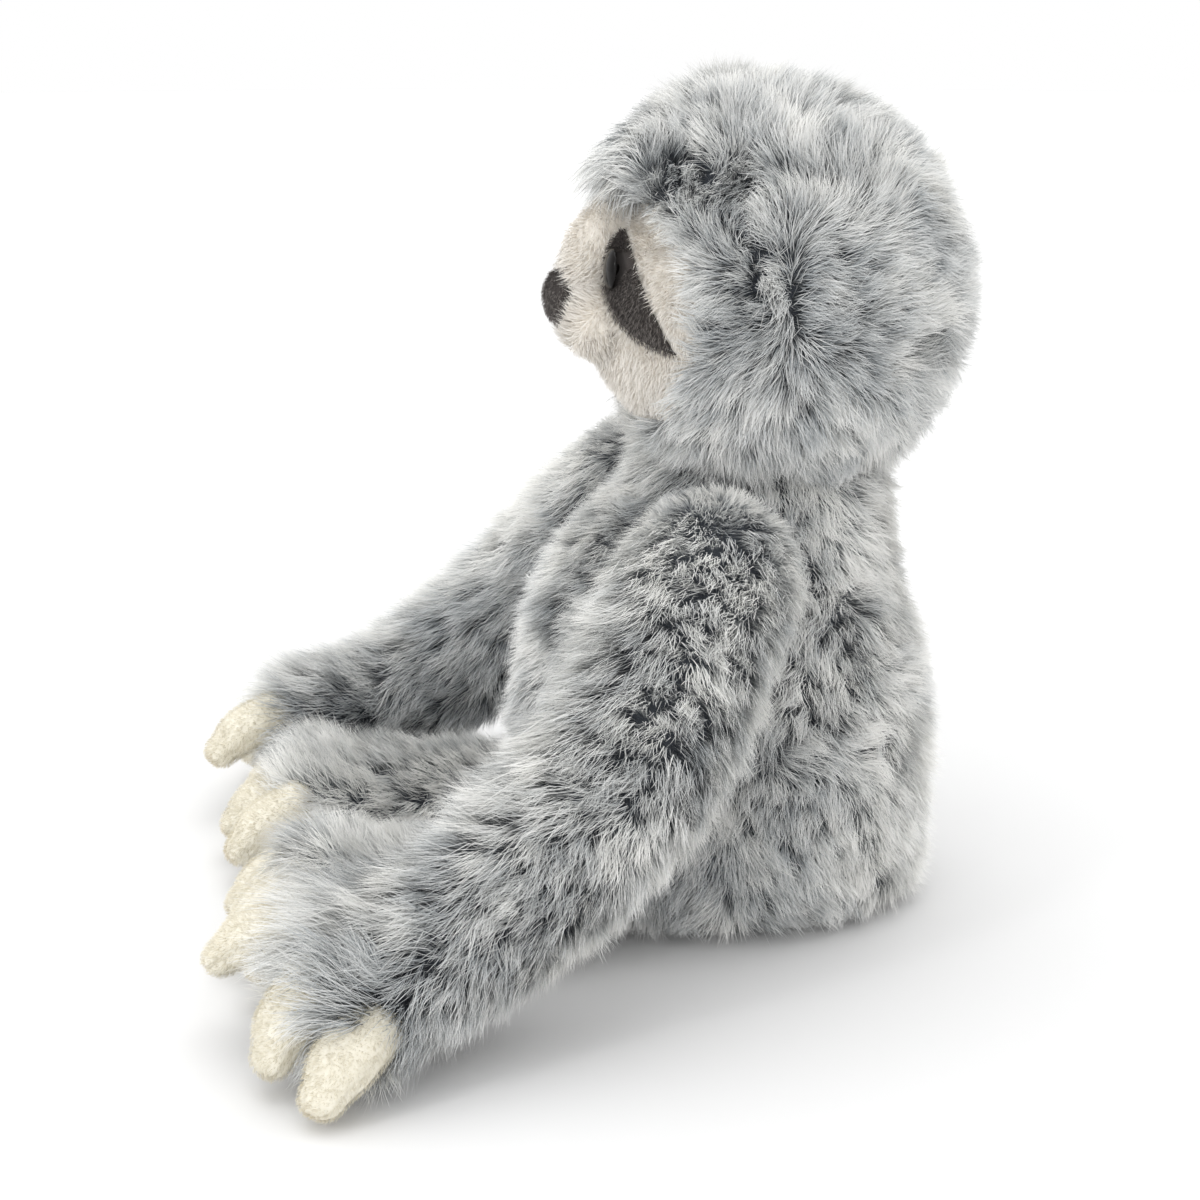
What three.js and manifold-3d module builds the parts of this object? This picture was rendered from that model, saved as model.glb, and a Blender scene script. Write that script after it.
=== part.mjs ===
// Plush sloth, sitting, with its arms reaching forward to the floor beside its feet.
// Millimetres, +Z up. It faces -Y and its own left side is +X.
// The origin is the middle of the flat underside of the seat, on the floor.
// Every outer face is the outside of the pile, brushed smooth.

import * as THREE from 'three';
import { mergeVertices } from 'three/addons/utils/BufferGeometryUtils.js';
import Module from 'manifold-3d';

const wasm = await Module();
wasm.setup();

// Fabric and clearances
const furDepth = 12;            // long pile with its backing cloth
const shortPileDepth = 5;       // face, muzzle, patches
const seamGap = 0.3;            // between pieces of one body
const workingGap = 0.4;         // between bodies that move against each other

// Torso
const torsoHeight = 156;
const torsoWidth = 144;
const torsoDepth = 156;
const seatSeamHeight = 42;      // the fold that runs round the seat
const sideSeamSetback = 20;     // side seams lie behind the middle
// Height, width, depth and backward shift, each a share of its own size.
const torsoProfileShares = [
  [0.00, 0.74, 0.90, 0.008],
  [0.07, 0.88, 0.97, 0.006],
  [0.28, 1.00, 1.00, 0.004],
  [0.57, 0.94, 0.97, -0.008],
  [0.77, 0.84, 0.83, -0.005],
  [0.92, 0.74, 0.68, 0.060],
  [1.00, 0.62, 0.56, 0.090],
];

// Neck, where the head nods on a ball-shaped seat
const neckSink = 6;             // the head's pivot below the top of the torso
const neckHeight = torsoHeight - neckSink;
const neckSetback = 14;
const neckRadius = 43;
const nodForward = 12;          // degrees
const nodBack = 12;             // degrees

// Head
const headWidth = 148;
const headDepth = 138;
const headHeight = 146;
const headRise = 66;            // middle of the head above the neck pivot
const gussetWidth = 46;

// Face, set into an opening of the hood
const faceWidth = 112;
const faceHeight = 94;
const faceDepth = 48;           // from its middle plane to the front
const faceDrop = 6;             // below the middle of the head
const faceSetback = 7;          // its front behind the front of the head
const openingWidth = 106;
const openingHeight = 84;
const openingDrop = 2;
const muzzleWidth = 48;
const muzzleHeight = 32;
const muzzleDrop = 3;           // below the middle of the face
const muzzleReach = 10;         // beyond the face
const muzzleThickness = 18;
const bridgeWidth = 26;         // the ridge from the nose up to the brow
const bridgeHeight = 58;
const bridgeRise = 13;          // above the middle of the face
const noseWidth = 22;
const noseHeight = 17;
const noseThickness = 6;
const noseRise = 4;             // above the middle of the muzzle

// Eyes
const eyeSpread = 24;           // each side of the middle
const eyeRise = 10;             // above the middle of the head
const eyeRadius = 7;
const eyeCrown = 3.5;           // how far the dome stands up
const stemRadius = 2;
const washerRadius = 7;
const washerThickness = 2;
const stemSpare = 1.5;          // stem beyond its washer
// Radius and height of the eye's dome, each a share of its own size
const eyeProfileShares = [[1, 0], [0.94, 0.4], [0.7, 0.78], [0.35, 0.96], [0, 1]];
const patchThickness = 2.4;
const patchLength = 50;
const patchWidth = 20;
const patchTilt = 46;           // degrees, outer end down
const patchDrop = 8;            // patch middle below the eye
const patchOutset = 8;          // patch middle outside the eye
const leafSwellShare = 0.62;    // curve of the patch's edge against its width
const leafInnerShare = 0.55;
const leafOuterShare = 0.45;

// Arms: shoulder, elbow, wrist and hand, on the left side
const shoulderSpread = 69;
const shoulderForward = 19;
const shoulderHeight = 134;
const shoulderSeat = 17;        // pivot to the flat seat on the torso
const shoulderSplay = 7;        // degrees, pivot axis turned back
const shoulderTilt = 18;        // degrees, outer end of the axis up
const elbowSpread = 105;
const elbowForward = 52;
const elbowHeight = 82;
const wristSpread = 121;
const wristForward = 100;
const wristHeight = 42;
const handSpread = 126;
const handForward = 142;
const armThickness = 68;
const elbowThickness = 65;
const wristThickness = 60;
const handWidth = 80;
const handThickness = 48;
const handRoll = 16;            // degrees, inner side up
const handClearance = 1.5;      // under the hand
const handTipShare = 0.62;      // rounding of the hand's end
const footTipShare = 0.55;      // rounding of the foot's end

// Legs: hip to foot, flat on the floor, on the left side
const hipSpread = 40;
const hipForward = 56;
const hipRadius = 23;
const hipWidth = 56;
const hipThickness = 46;
const thighForward = 92;
const footSpread = 50;
const footForward = 143;
const thighWidth = 62;
const thighThickness = 46;
const footWidth = 74;
const footThickness = 48;
const legClearance = 0.5;       // under the leg
const legRaise = 40;            // degrees

// Claws, three to each hand and foot
const clawLength = 22;
const clawWidth = 22;
const clawThickness = 17;
const clawRoot = 9;             // length inside the seam, cut away by the limb
const handClawPlaces = [-30, 5, 29];  // from the middle of the hand: inner, middle, outer
const footClawPlaces = [-24, 0, 24];
const handClawInset = 2;        // how far the hand's pile covers its claws
const clawCurlShare = 0.12;     // extra drop of the tip as a share of the length
const handClawTurns = [-20, 30, 42];  // degrees outward
const footClawTurns = [-6, 6, 18];    // degrees outward
const handClawDroops = [22, 46, 28];  // degrees below level
const footClawDroops = [30, 30, 30];  // degrees below level
const handTurn = 25;            // degrees that the hand's end turns outward
const footTurn = 6;             // degrees that the foot's end turns outward

// Pellet bag in the seat
const pelletBagWidth = 84;
const pelletBagDepth = 92;
const pelletBagHeight = 26;

// Sides of the rings and rows of the swelling forms. Linings and hollows are coarser.
const bodySides = 28;
const bodyRows = 14;
const headSides = 28;
const limbSides = 18;
const limbRows = 9;
const hipSides = 20;
const liningSides = 14;
const liningRows = 7;
const smallSides = 16;
const clawSides = 8;
const clawRows = 3;
const capRows = 3;
const faceSides = 20;
const coarseSlack = 2.4;         // how far a coarse form lies inside the true one

const ovalRowShare = 0.62;      // rows of a ball against its sides
const capShare = 0.9;           // length of a rounded end against its radius
const mouthShare = 0.75;        // opening at a leg's seam against its end
const clawBendShare = 0.3;      // where a claw starts to curl
const clawStraightShare = 0.74; // where its rounded tip starts
const clawTipShare = 0.72;      // its thickness there
const washerSetback = patchThickness + shortPileDepth + 3 * seamGap;
const wideReach = torsoHeight + headHeight + torsoDepth;

const forward = new THREE.Vector3(0, -1, 0);
const leftward = new THREE.Vector3(1, 0, 0);
const upward = new THREE.Vector3(0, 0, 1);

const neckPivot = new THREE.Vector3(0, neckSetback, neckHeight);
const headMiddle = new THREE.Vector3(0, neckSetback, neckHeight + headRise);
const faceMiddle = new THREE.Vector3(0,
  headMiddle.y - headDepth / 2 + faceSetback + faceDepth, headMiddle.z - faceDrop);
const muzzleMiddle = new THREE.Vector3(0,
  faceMiddle.y - faceDepth - muzzleReach + muzzleThickness, faceMiddle.z - muzzleDrop);
const shoulderPivot = new THREE.Vector3(shoulderSpread, -shoulderForward, shoulderHeight);
const hipPivot = new THREE.Vector3(hipSpread, -hipForward, hipRadius + legClearance);
const shoulderAxis = leftward.clone()
  .applyAxisAngle(forward, THREE.MathUtils.degToRad(shoulderTilt))
  .applyAxisAngle(upward, THREE.MathUtils.degToRad(shoulderSplay));

// Finishes
const greyFur = { color: 0x8b939b, roughness: 0.95, metalness: 0 };
const paleFur = { color: 0xaab0b5, roughness: 0.95, metalness: 0 };
const creamPile = { color: 0xe6e1d6, roughness: 0.9, metalness: 0 };
const darkPile = { color: 0x4d4845, roughness: 0.9, metalness: 0 };
const clawPile = { color: 0xebe5d2, roughness: 0.9, metalness: 0 };
const eyePlastic = { color: 0x151312, roughness: 0.15, metalness: 0 };
const washerPlastic = { color: 0xd8d8d4, roughness: 0.5, metalness: 0 };
const fibreFilling = { color: 0xf2f2ee, roughness: 1, metalness: 0 };
const bagCloth = { color: 0xc9c4b8, roughness: 0.9, metalness: 0 };

// Closed mesh to solid, and back
function solid(geometry) {
  const bare = geometry.clone();
  bare.deleteAttribute('normal');
  bare.deleteAttribute('uv');
  const welded = mergeVertices(bare);
  return new wasm.Manifold(new wasm.Mesh({
    numProp: 3,
    vertProperties: new Float32Array(welded.attributes.position.array),
    triVerts: new Uint32Array(welded.index.array),
  }));
}

function geometryOf(body) {
  const mesh = body.getMesh();
  const geometry = new THREE.BufferGeometry();
  geometry.setAttribute('position', new THREE.BufferAttribute(mesh.vertProperties, mesh.numProp));
  geometry.setIndex(new THREE.BufferAttribute(mesh.triVerts, 1));
  return geometry;
}

function turnedAbout(geometry, pivot, axis, degrees) {
  const turn = new THREE.Matrix4().makeRotationAxis(axis, THREE.MathUtils.degToRad(degrees));
  return geometry.clone().translate(-pivot.x, -pivot.y, -pivot.z)
    .applyMatrix4(turn).translate(pivot.x, pivot.y, pivot.z);
}

function mirrored(geometry) {
  const copy = geometry.clone().applyMatrix4(new THREE.Matrix4().makeScale(-1, 1, 1));
  const index = copy.index.array;
  for (let i = 0; i < index.length; i += 3) {
    [index[i], index[i + 1]] = [index[i + 1], index[i]];
  }
  return copy;
}

// A block between two corners, for cutting along seams
function block(low, high) {
  const size = new THREE.Vector3().subVectors(high, low);
  const middle = new THREE.Vector3().addVectors(low, high).multiplyScalar(1 / 2);
  return solid(new THREE.BoxGeometry(size.x, size.y, size.z).translate(middle.x, middle.y, middle.z));
}

// Everything on one side of a plane through a point
function sideOf(point, normal) {
  const turn = new THREE.Quaternion().setFromUnitVectors(upward, normal);
  const box = new THREE.BoxGeometry(2 * wideReach, 2 * wideReach, wideReach);
  box.translate(0, 0, wideReach / 2).applyQuaternion(turn).translate(point.x, point.y, point.z);
  return solid(box);
}

function ovalGeometry(middle, radii, sides) {
  const geometry = new THREE.SphereGeometry(1, sides, Math.round(sides * ovalRowShare));
  geometry.rotateX(Math.PI / 2).scale(radii.x, radii.y, radii.z);
  return geometry.translate(middle.x, middle.y, middle.z);
}

function oval(middle, radii, sides = smallSides) {
  return solid(ovalGeometry(middle, radii, sides));
}

function ball(middle, radius, sides = smallSides) {
  return oval(middle, new THREE.Vector3(radius, radius, radius), sides);
}

// A ball whose flat faces, and not its corners, reach the radius: room for a ball inside it
function ballRoom(middle, radius, sides = smallSides) {
  return ball(middle, radius / Math.cos(Math.PI / sides) ** 2, sides);
}

function smoothValue(values, share) {
  const points = values.map((value, i) => new THREE.Vector2(i, value));
  return new THREE.SplineCurve(points).getPoint(share).y;
}

// Swelling form: oval rings along a smooth centreline, with flat or rounded ends.
// The width of a ring lies along the given direction, its height square to that. Its rings
// face along the centreline, or all one way where a direction is given. A lining is inset.
function swellingForm({
  route, widths, heights, widthAlong, facing, inset = 0, sides, rows, rootCap, tipCap,
}) {
  const centreline = new THREE.CatmullRomCurve3(route, false, 'centripetal');
  const rings = [];
  const addRing = (share, onward, shrink) => {
    const along = facing ?? centreline.getTangent(share).normalize();
    const across = widthAlong.clone().addScaledVector(along, -widthAlong.dot(along)).normalize();
    const high = new THREE.Vector3().crossVectors(along, across);
    const middle = centreline.getPoint(share).addScaledVector(along, onward);
    const halfWidth = (smoothValue(widths, share) / 2 - inset) * shrink;
    const halfHeight = (smoothValue(heights, share) / 2 - inset) * shrink;
    const ring = [];
    for (let i = 0; i < sides; i += 1) {
      const angle = (2 * Math.PI * i) / sides;
      ring.push(middle.clone()
        .addScaledVector(across, halfWidth * Math.cos(angle))
        .addScaledVector(high, halfHeight * Math.sin(angle)));
    }
    rings.push(ring);
  };
  const rootLength = rootCap * (widths[0] + heights[0]) / 4 - inset * Math.sign(rootCap);
  const tipLength = tipCap * (widths.at(-1) + heights.at(-1)) / 4 - inset * Math.sign(tipCap);
  for (let i = capRows; rootCap > 0 && i > 0; i -= 1) {
    const angle = (Math.PI / 2) * (i / (capRows + 1));
    addRing(0, -rootLength * Math.sin(angle), Math.cos(angle));
  }
  for (let i = 0; i <= rows; i += 1) addRing(i / rows, 0, 1);
  for (let i = 1; tipCap > 0 && i <= capRows; i += 1) {
    const angle = (Math.PI / 2) * (i / (capRows + 1));
    addRing(1, tipLength * Math.sin(angle), Math.cos(angle));
  }
  const rootPole = centreline.getPoint(0)
    .addScaledVector(centreline.getTangent(0).normalize(), -rootLength);
  const tipPole = centreline.getPoint(1)
    .addScaledVector(centreline.getTangent(1).normalize(), tipLength);
  return closedRings(rings, rootPole, tipPole);
}

function closedRings(rings, rootPole, tipPole) {
  const sides = rings[0].length;
  const points = [rootPole, tipPole, ...rings.flat()];
  const triangles = [];
  const vertex = (row, i) => 2 + row * sides + (i % sides);
  for (let i = 0; i < sides; i += 1) {
    triangles.push(0, vertex(0, i + 1), vertex(0, i));
    triangles.push(1, vertex(rings.length - 1, i), vertex(rings.length - 1, i + 1));
    for (let row = 0; row + 1 < rings.length; row += 1) {
      triangles.push(vertex(row, i), vertex(row, i + 1), vertex(row + 1, i + 1));
      triangles.push(vertex(row, i), vertex(row + 1, i + 1), vertex(row + 1, i));
    }
  }
  const geometry = new THREE.BufferGeometry().setFromPoints(points);
  geometry.setIndex(triangles);
  return geometry;
}

// Torso
function torsoForm(sides, rows, inset) {
  const shares = torsoProfileShares;
  return swellingForm({
    route: shares.map(([height, , , shift]) => (
      new THREE.Vector3(0, shift * torsoDepth, height * torsoHeight))),
    widths: shares.map((row) => row[1] * torsoWidth),
    heights: shares.map((row) => row[2] * torsoDepth),
    widthAlong: leftward,
    facing: upward,
    inset,
    sides,
    rows,
    rootCap: 0,
    tipCap: 0,
  });
}

function headOval(growth, sides) {
  const radii = new THREE.Vector3(headWidth / 2, headDepth / 2, headHeight / 2).addScalar(growth);
  return ovalGeometry(headMiddle, radii, sides);
}

// Room for the head as it nods: upright, and at both ends of its travel
function noddingHead() {
  const dome = ball(neckPivot, neckRadius - coarseSlack, headSides);
  const head = headOval(workingGap + coarseSlack, liningSides);
  return [nodForward, 0, -nodBack]
    .map((angle) => solid(turnedAbout(head, neckPivot, leftward, angle)))
    .reduce((swept, place) => swept.add(place))
    .subtract(dome);
}

// Flat seats for the arms, and round sockets for the legs
function jointsClearedFrom(body) {
  let cleared = body;
  for (const side of [1, -1]) {
    const outward = new THREE.Vector3(side * shoulderAxis.x, shoulderAxis.y, shoulderAxis.z);
    const seat = new THREE.Vector3(side * shoulderPivot.x, shoulderPivot.y, shoulderPivot.z)
      .addScaledVector(outward, -shoulderSeat - workingGap);
    cleared = cleared.subtract(sideOf(seat, outward));
    const hip = new THREE.Vector3(side * hipPivot.x, hipPivot.y, hipPivot.z);
    cleared = cleared.subtract(ballRoom(hip, hipRadius + seamGap, hipSides));
  }
  return cleared;
}

function torsoPieces() {
  const domeRadius = neckRadius - workingGap;
  const top = new THREE.Vector3(wideReach, wideReach, wideReach);
  const bottom = top.clone().negate();
  const hollow = (inset) => solid(torsoForm(liningSides, liningRows, inset))
    .intersect(block(bottom.clone().setZ(inset), top.clone().setZ(torsoHeight - inset)))
    .add(ball(neckPivot, domeRadius - inset, liningSides));
  const whole = jointsClearedFrom(
    solid(torsoForm(bodySides, bodyRows, 0)).subtract(noddingHead())
      .add(ball(neckPivot, domeRadius, headSides)),
  );
  const skin = whole.subtract(hollow(furDepth));
  const halfGap = seamGap / 2;
  const upperSkin = skin.intersect(block(bottom.clone().setZ(seatSeamHeight + halfGap), top));
  const seamY = sideSeamSetback;
  const back = upperSkin.intersect(block(bottom.clone().setY(seamY + halfGap), top));
  return {
    belly_panel: [upperSkin.intersect(block(bottom, top.clone().setY(seamY - halfGap))), paleFur],
    back_panel_left: [back.intersect(block(bottom.clone().setX(halfGap), top)), greyFur],
    back_panel_right: [back.intersect(block(bottom, top.clone().setX(-halfGap))), greyFur],
    seat_panel: [skin.intersect(block(bottom, top.clone().setZ(seatSeamHeight - halfGap))), greyFur],
    torso_filling: [hollow(furDepth + seamGap).intersect(whole).subtract(pelletBag(seamGap)),
      fibreFilling],
    pellet_bag: [pelletBag(0), bagCloth],
  };
}

function pelletBag(growth) {
  const radii = new THREE.Vector3(pelletBagWidth / 2, pelletBagDepth / 2, pelletBagHeight)
    .addScalar(growth);
  const middle = new THREE.Vector3(0, neckSetback / 2, furDepth + seamGap);
  const floor = middle.clone().addScaledVector(upward, -growth);
  return oval(middle, radii).intersect(sideOf(floor, upward));
}

// Head
function faceOval(growth, sides = faceSides) {
  const radii = new THREE.Vector3(faceWidth / 2, faceDepth, faceHeight / 2).addScalar(growth);
  return oval(faceMiddle, radii, sides);
}

function faceOpening(growth) {
  const tube = new THREE.CylinderGeometry(1, 1, wideReach, headSides);
  tube.scale(openingWidth / 2 + growth, 1, openingHeight / 2 + growth);
  tube.translate(0, headMiddle.y - wideReach / 2, headMiddle.z - openingDrop);
  return solid(tube);
}

function onFace(x, z, growth) {
  const radii = new THREE.Vector3(faceWidth / 2, faceDepth, faceHeight / 2).addScalar(growth);
  const acrossShare = x / radii.x;
  const upShare = (z - faceMiddle.z) / radii.z;
  const depth = radii.y * Math.sqrt(1 - acrossShare ** 2 - upShare ** 2);
  const place = new THREE.Vector3(x, faceMiddle.y - depth, z);
  const outward = new THREE.Vector3(x / radii.x ** 2, -depth / radii.y ** 2,
    (z - faceMiddle.z) / radii.z ** 2).normalize();
  return { place, outward };
}

// A turned piece whose own +Y points along the given direction
function turnedPiece(profile, place, direction) {
  const points = profile.map(([radius, height]) => new THREE.Vector2(radius, height));
  const turn = new THREE.Quaternion().setFromUnitVectors(new THREE.Vector3(0, 1, 0), direction);
  return new THREE.LatheGeometry(points, smallSides).applyQuaternion(turn)
    .translate(place.x, place.y, place.z);
}

function eyeGeometry(seat) {
  const stemEnd = -washerSetback - washerThickness - stemSpare;
  const dome = eyeProfileShares.map(([radius, height]) => [radius * eyeRadius, height * eyeCrown]);
  return turnedPiece([[0, stemEnd], [stemRadius, stemEnd], [stemRadius, 0], ...dome],
    seat.place, seat.outward);
}

function washerGeometry(seat) {
  const front = -washerSetback;
  const back = front - washerThickness;
  const bore = stemRadius + seamGap;
  return turnedPiece([
    [bore, back],
    [washerRadius, back],
    [washerRadius, front],
    [bore, front],
    [bore, back],
  ], seat.place, seat.outward);
}

function stemHole(seat, radius, depth, height) {
  return solid(turnedPiece([[0, -depth], [radius, -depth], [radius, height], [0, height]],
    seat.place, seat.outward));
}

function eyeSeat(side) {
  return onFace(side * eyeSpread, headMiddle.z + eyeRise, patchThickness + 2 * seamGap);
}

// Leaf-shaped patch, drooping outward from above the eye
function patchPrism(side) {
  const half = patchLength / 2;
  const swell = patchWidth * leafSwellShare;
  const inner = -half * leafInnerShare;
  const outer = half * leafOuterShare;
  const leaf = new THREE.Shape();
  leaf.moveTo(-half, 0);
  leaf.bezierCurveTo(inner, swell, outer, swell, half, 0);
  leaf.bezierCurveTo(outer, -swell, inner, -swell, -half, 0);
  const prism = new THREE.ExtrudeGeometry(leaf, {
    depth: faceDepth + muzzleReach, bevelEnabled: false, curveSegments: smallSides / 2,
  });
  prism.rotateX(Math.PI / 2);
  const middle = onFace(eyeSpread + patchOutset, headMiddle.z + eyeRise - patchDrop, 0).place;
  prism.rotateY(THREE.MathUtils.degToRad(patchTilt)).translate(middle.x, faceMiddle.y, middle.z);
  return solid(side > 0 ? prism : mirrored(mergeVertices(prism)));
}

// The muzzle and the bridge of the nose are one padded piece
function muzzleRoom(growth) {
  const muzzleRadii = new THREE.Vector3(muzzleWidth / 2, muzzleThickness, muzzleHeight / 2);
  const bridgeRadii = new THREE.Vector3(bridgeWidth / 2, muzzleThickness, bridgeHeight / 2);
  const bridgeMiddle = muzzleMiddle.clone().setZ(faceMiddle.z + bridgeRise);
  return oval(muzzleMiddle, muzzleRadii.addScalar(growth), smallSides)
    .add(oval(bridgeMiddle, bridgeRadii.addScalar(growth), smallSides));
}

function headPieces() {
  const cup = ballRoom(neckPivot, neckRadius, headSides);
  const hood = solid(headOval(0, headSides)).subtract(solid(headOval(-furDepth, liningSides)))
    .subtract(faceOpening(0)).subtract(cup);
  const halfGap = seamGap / 2;
  const far = wideReach;
  const strip = (halfWidth) => {
    const over = block(new THREE.Vector3(-halfWidth, -far, headMiddle.z),
      new THREE.Vector3(halfWidth, far, far));
    const down = block(new THREE.Vector3(-halfWidth, headMiddle.y, -far),
      new THREE.Vector3(halfWidth, far, far));
    return over.add(down);
  };
  const sides = hood.subtract(strip(gussetWidth / 2 + halfGap));
  const leftHalf = block(new THREE.Vector3(halfGap, -far, -far), new THREE.Vector3(far, far, far));
  const rightHalf = block(new THREE.Vector3(-far, -far, -far), new THREE.Vector3(-halfGap, far, far));

  const seats = [eyeSeat(1), eyeSeat(-1)];
  const frontHalf = sideOf(faceMiddle.clone(), forward);
  let face = faceOval(0).subtract(faceOval(-shortPileDepth, liningSides))
    .intersect(faceOpening(-seamGap)).intersect(frontHalf).subtract(cup);
  const behindFace = faceOval(-shortPileDepth - seamGap, liningSides);
  const beforeFilling = faceOpening(0)
    .intersect(sideOf(faceMiddle.clone().addScaledVector(forward, -seamGap), forward))
    .subtract(behindFace);
  let filling = solid(headOval(-furDepth - seamGap, liningSides)).add(behindFace)
    .subtract(beforeFilling).subtract(cup);
  for (const seat of seats) {
    const depth = washerSetback + washerThickness + stemSpare + seamGap;
    face = face.subtract(stemHole(seat, stemRadius + seamGap, depth, 0))
      .subtract(stemHole(seat, washerRadius + seamGap, depth, seamGap - washerSetback));
    filling = filling.subtract(stemHole(seat, washerRadius + seamGap, depth, 0));
  }

  const muzzle = muzzleRoom(0).subtract(faceOval(seamGap));
  const noseMiddle = muzzleMiddle.clone().setZ(faceMiddle.z + noseRise)
    .addScaledVector(forward, muzzleThickness);
  const noseRadii = new THREE.Vector3(noseWidth / 2, noseThickness, noseHeight / 2);
  const nose = oval(noseMiddle, noseRadii, smallSides).subtract(muzzleRoom(seamGap));

  const patchShell = faceOval(patchThickness + seamGap).subtract(faceOval(seamGap));
  const patch = (side, seat) => patchShell.intersect(patchPrism(side)).subtract(muzzleRoom(seamGap))
    .intersect(faceOpening(-seamGap))
    .subtract(stemHole(seat, stemRadius + seamGap, patchThickness * 2, patchThickness));
  return {
    head_panel_left: [sides.intersect(leftHalf), greyFur],
    head_panel_right: [sides.intersect(rightHalf), greyFur],
    head_gusset: [hood.intersect(strip(gussetWidth / 2 - halfGap)), greyFur],
    face_panel: [face, creamPile],
    muzzle: [muzzle, creamPile],
    nose: [nose, darkPile],
    eye_patch_left: [patch(1, seats[0]), darkPile],
    eye_patch_right: [patch(-1, seats[1]), darkPile],
    eye_left: [solid(eyeGeometry(seats[0])), eyePlastic],
    eye_right: [solid(eyeGeometry(seats[1])), eyePlastic],
    eye_washer_left: [solid(washerGeometry(seats[0])), washerPlastic],
    eye_washer_right: [solid(washerGeometry(seats[1])), washerPlastic],
    head_filling: [filling, fibreFilling],
  };
}

// Claw: a short tapering finger that curls down. It starts inside the limb and is cut by it.
function clawForm(base, direction) {
  const across = new THREE.Vector3().crossVectors(direction, upward).normalize();
  const curl = new THREE.Vector3().crossVectors(across, direction).negate()
    .multiplyScalar(clawCurlShare * clawLength);
  const tipShare = clawTipShare;
  return swellingForm({
    route: [
      base.clone().addScaledVector(direction, -clawRoot),
      base.clone().addScaledVector(direction, clawLength * clawBendShare),
      base.clone().addScaledVector(direction, clawLength * clawStraightShare).add(curl),
    ],
    widths: [clawWidth, clawWidth, clawWidth * tipShare],
    heights: [clawThickness, clawThickness, clawThickness * tipShare],
    widthAlong: across,
    sides: clawSides,
    rows: clawRows,
    rootCap: 0,
    tipCap: capShare,
  });
}

// Three claws across the end of a hand or foot, inner one first
function clawSet({ end, turn, roll, places, turns, droops, inset, width, tipRadius, room }) {
  const onward = forward.clone().applyAxisAngle(upward, THREE.MathUtils.degToRad(turn));
  const across = new THREE.Vector3().crossVectors(upward, onward)
    .applyAxisAngle(onward, THREE.MathUtils.degToRad(-roll));
  return places.map((place, i) => {
    const level = forward.clone().applyAxisAngle(upward, THREE.MathUtils.degToRad(turns[i]));
    const sideways = new THREE.Vector3().crossVectors(level, upward);
    const direction = level.clone()
      .applyAxisAngle(sideways, THREE.MathUtils.degToRad(-droops[i]));
    const sideShare = place / (width / 2);
    const base = end.clone().addScaledVector(across, place)
      .addScaledVector(onward, tipRadius * Math.sqrt(1 - sideShare ** 2) - inset);
    return solid(clawForm(base, direction)).subtract(room);
  });
}

// Arm
function handEnd() {
  const roll = THREE.MathUtils.degToRad(handRoll);
  const lowest = Math.hypot(handWidth * Math.sin(roll), handThickness * Math.cos(roll)) / 2;
  return new THREE.Vector3(handSpread, -handForward, lowest + handClearance);
}

function armForm(inset, sides, rows) {
  return swellingForm({
    inset,
    route: [
      shoulderPivot.clone(),
      new THREE.Vector3(elbowSpread, -elbowForward, elbowHeight),
      new THREE.Vector3(wristSpread, -wristForward, wristHeight),
      handEnd(),
    ],
    widths: [armThickness, elbowThickness, wristThickness, handWidth],
    heights: [armThickness, elbowThickness, wristThickness, handThickness],
    widthAlong: leftward.clone().applyAxisAngle(forward, THREE.MathUtils.degToRad(-handRoll)),
    sides,
    rows,
    rootCap: 1,
    tipCap: handTipShare,
  });
}

function armPieces() {
  const lining = (inset) => solid(armForm(inset, liningSides, liningRows));
  const seat = shoulderPivot.clone().addScaledVector(shoulderAxis, -shoulderSeat);
  const besideTorso = block(
    new THREE.Vector3(-wideReach, -torsoDepth / 2, 0),
    new THREE.Vector3(wideReach, wideReach, wideReach),
  );
  const whole = solid(armForm(0, limbSides, limbRows))
    .subtract(besideTorso.subtract(sideOf(seat, shoulderAxis)));
  return {
    skin: whole.subtract(lining(furDepth)),
    filling: lining(furDepth + seamGap).intersect(whole),
    claws: clawSet({
      end: handEnd(),
      turn: handTurn,
      roll: handRoll,
      places: handClawPlaces,
      turns: handClawTurns,
      droops: handClawDroops,
      inset: handClawInset,
      width: handWidth,
      tipRadius: ((handWidth + handThickness) / 4) * handTipShare,
      room: solid(armForm(-seamGap, limbSides, limbRows)),
    }),
  };
}

// Leg
function footEnd() {
  return new THREE.Vector3(footSpread, -footForward, footThickness / 2 + legClearance);
}

function legForm(inset, sides, rows) {
  const thighHeight = thighThickness / 2 + legClearance;
  return swellingForm({
    inset,
    route: [
      hipPivot.clone(),
      new THREE.Vector3((hipSpread + footSpread) / 2, -thighForward, thighHeight),
      footEnd(),
    ],
    widths: [hipWidth, thighWidth, footWidth],
    heights: [hipThickness, thighThickness, footThickness],
    widthAlong: leftward,
    sides,
    rows,
    rootCap: 1,
    tipCap: footTipShare,
  });
}

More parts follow.
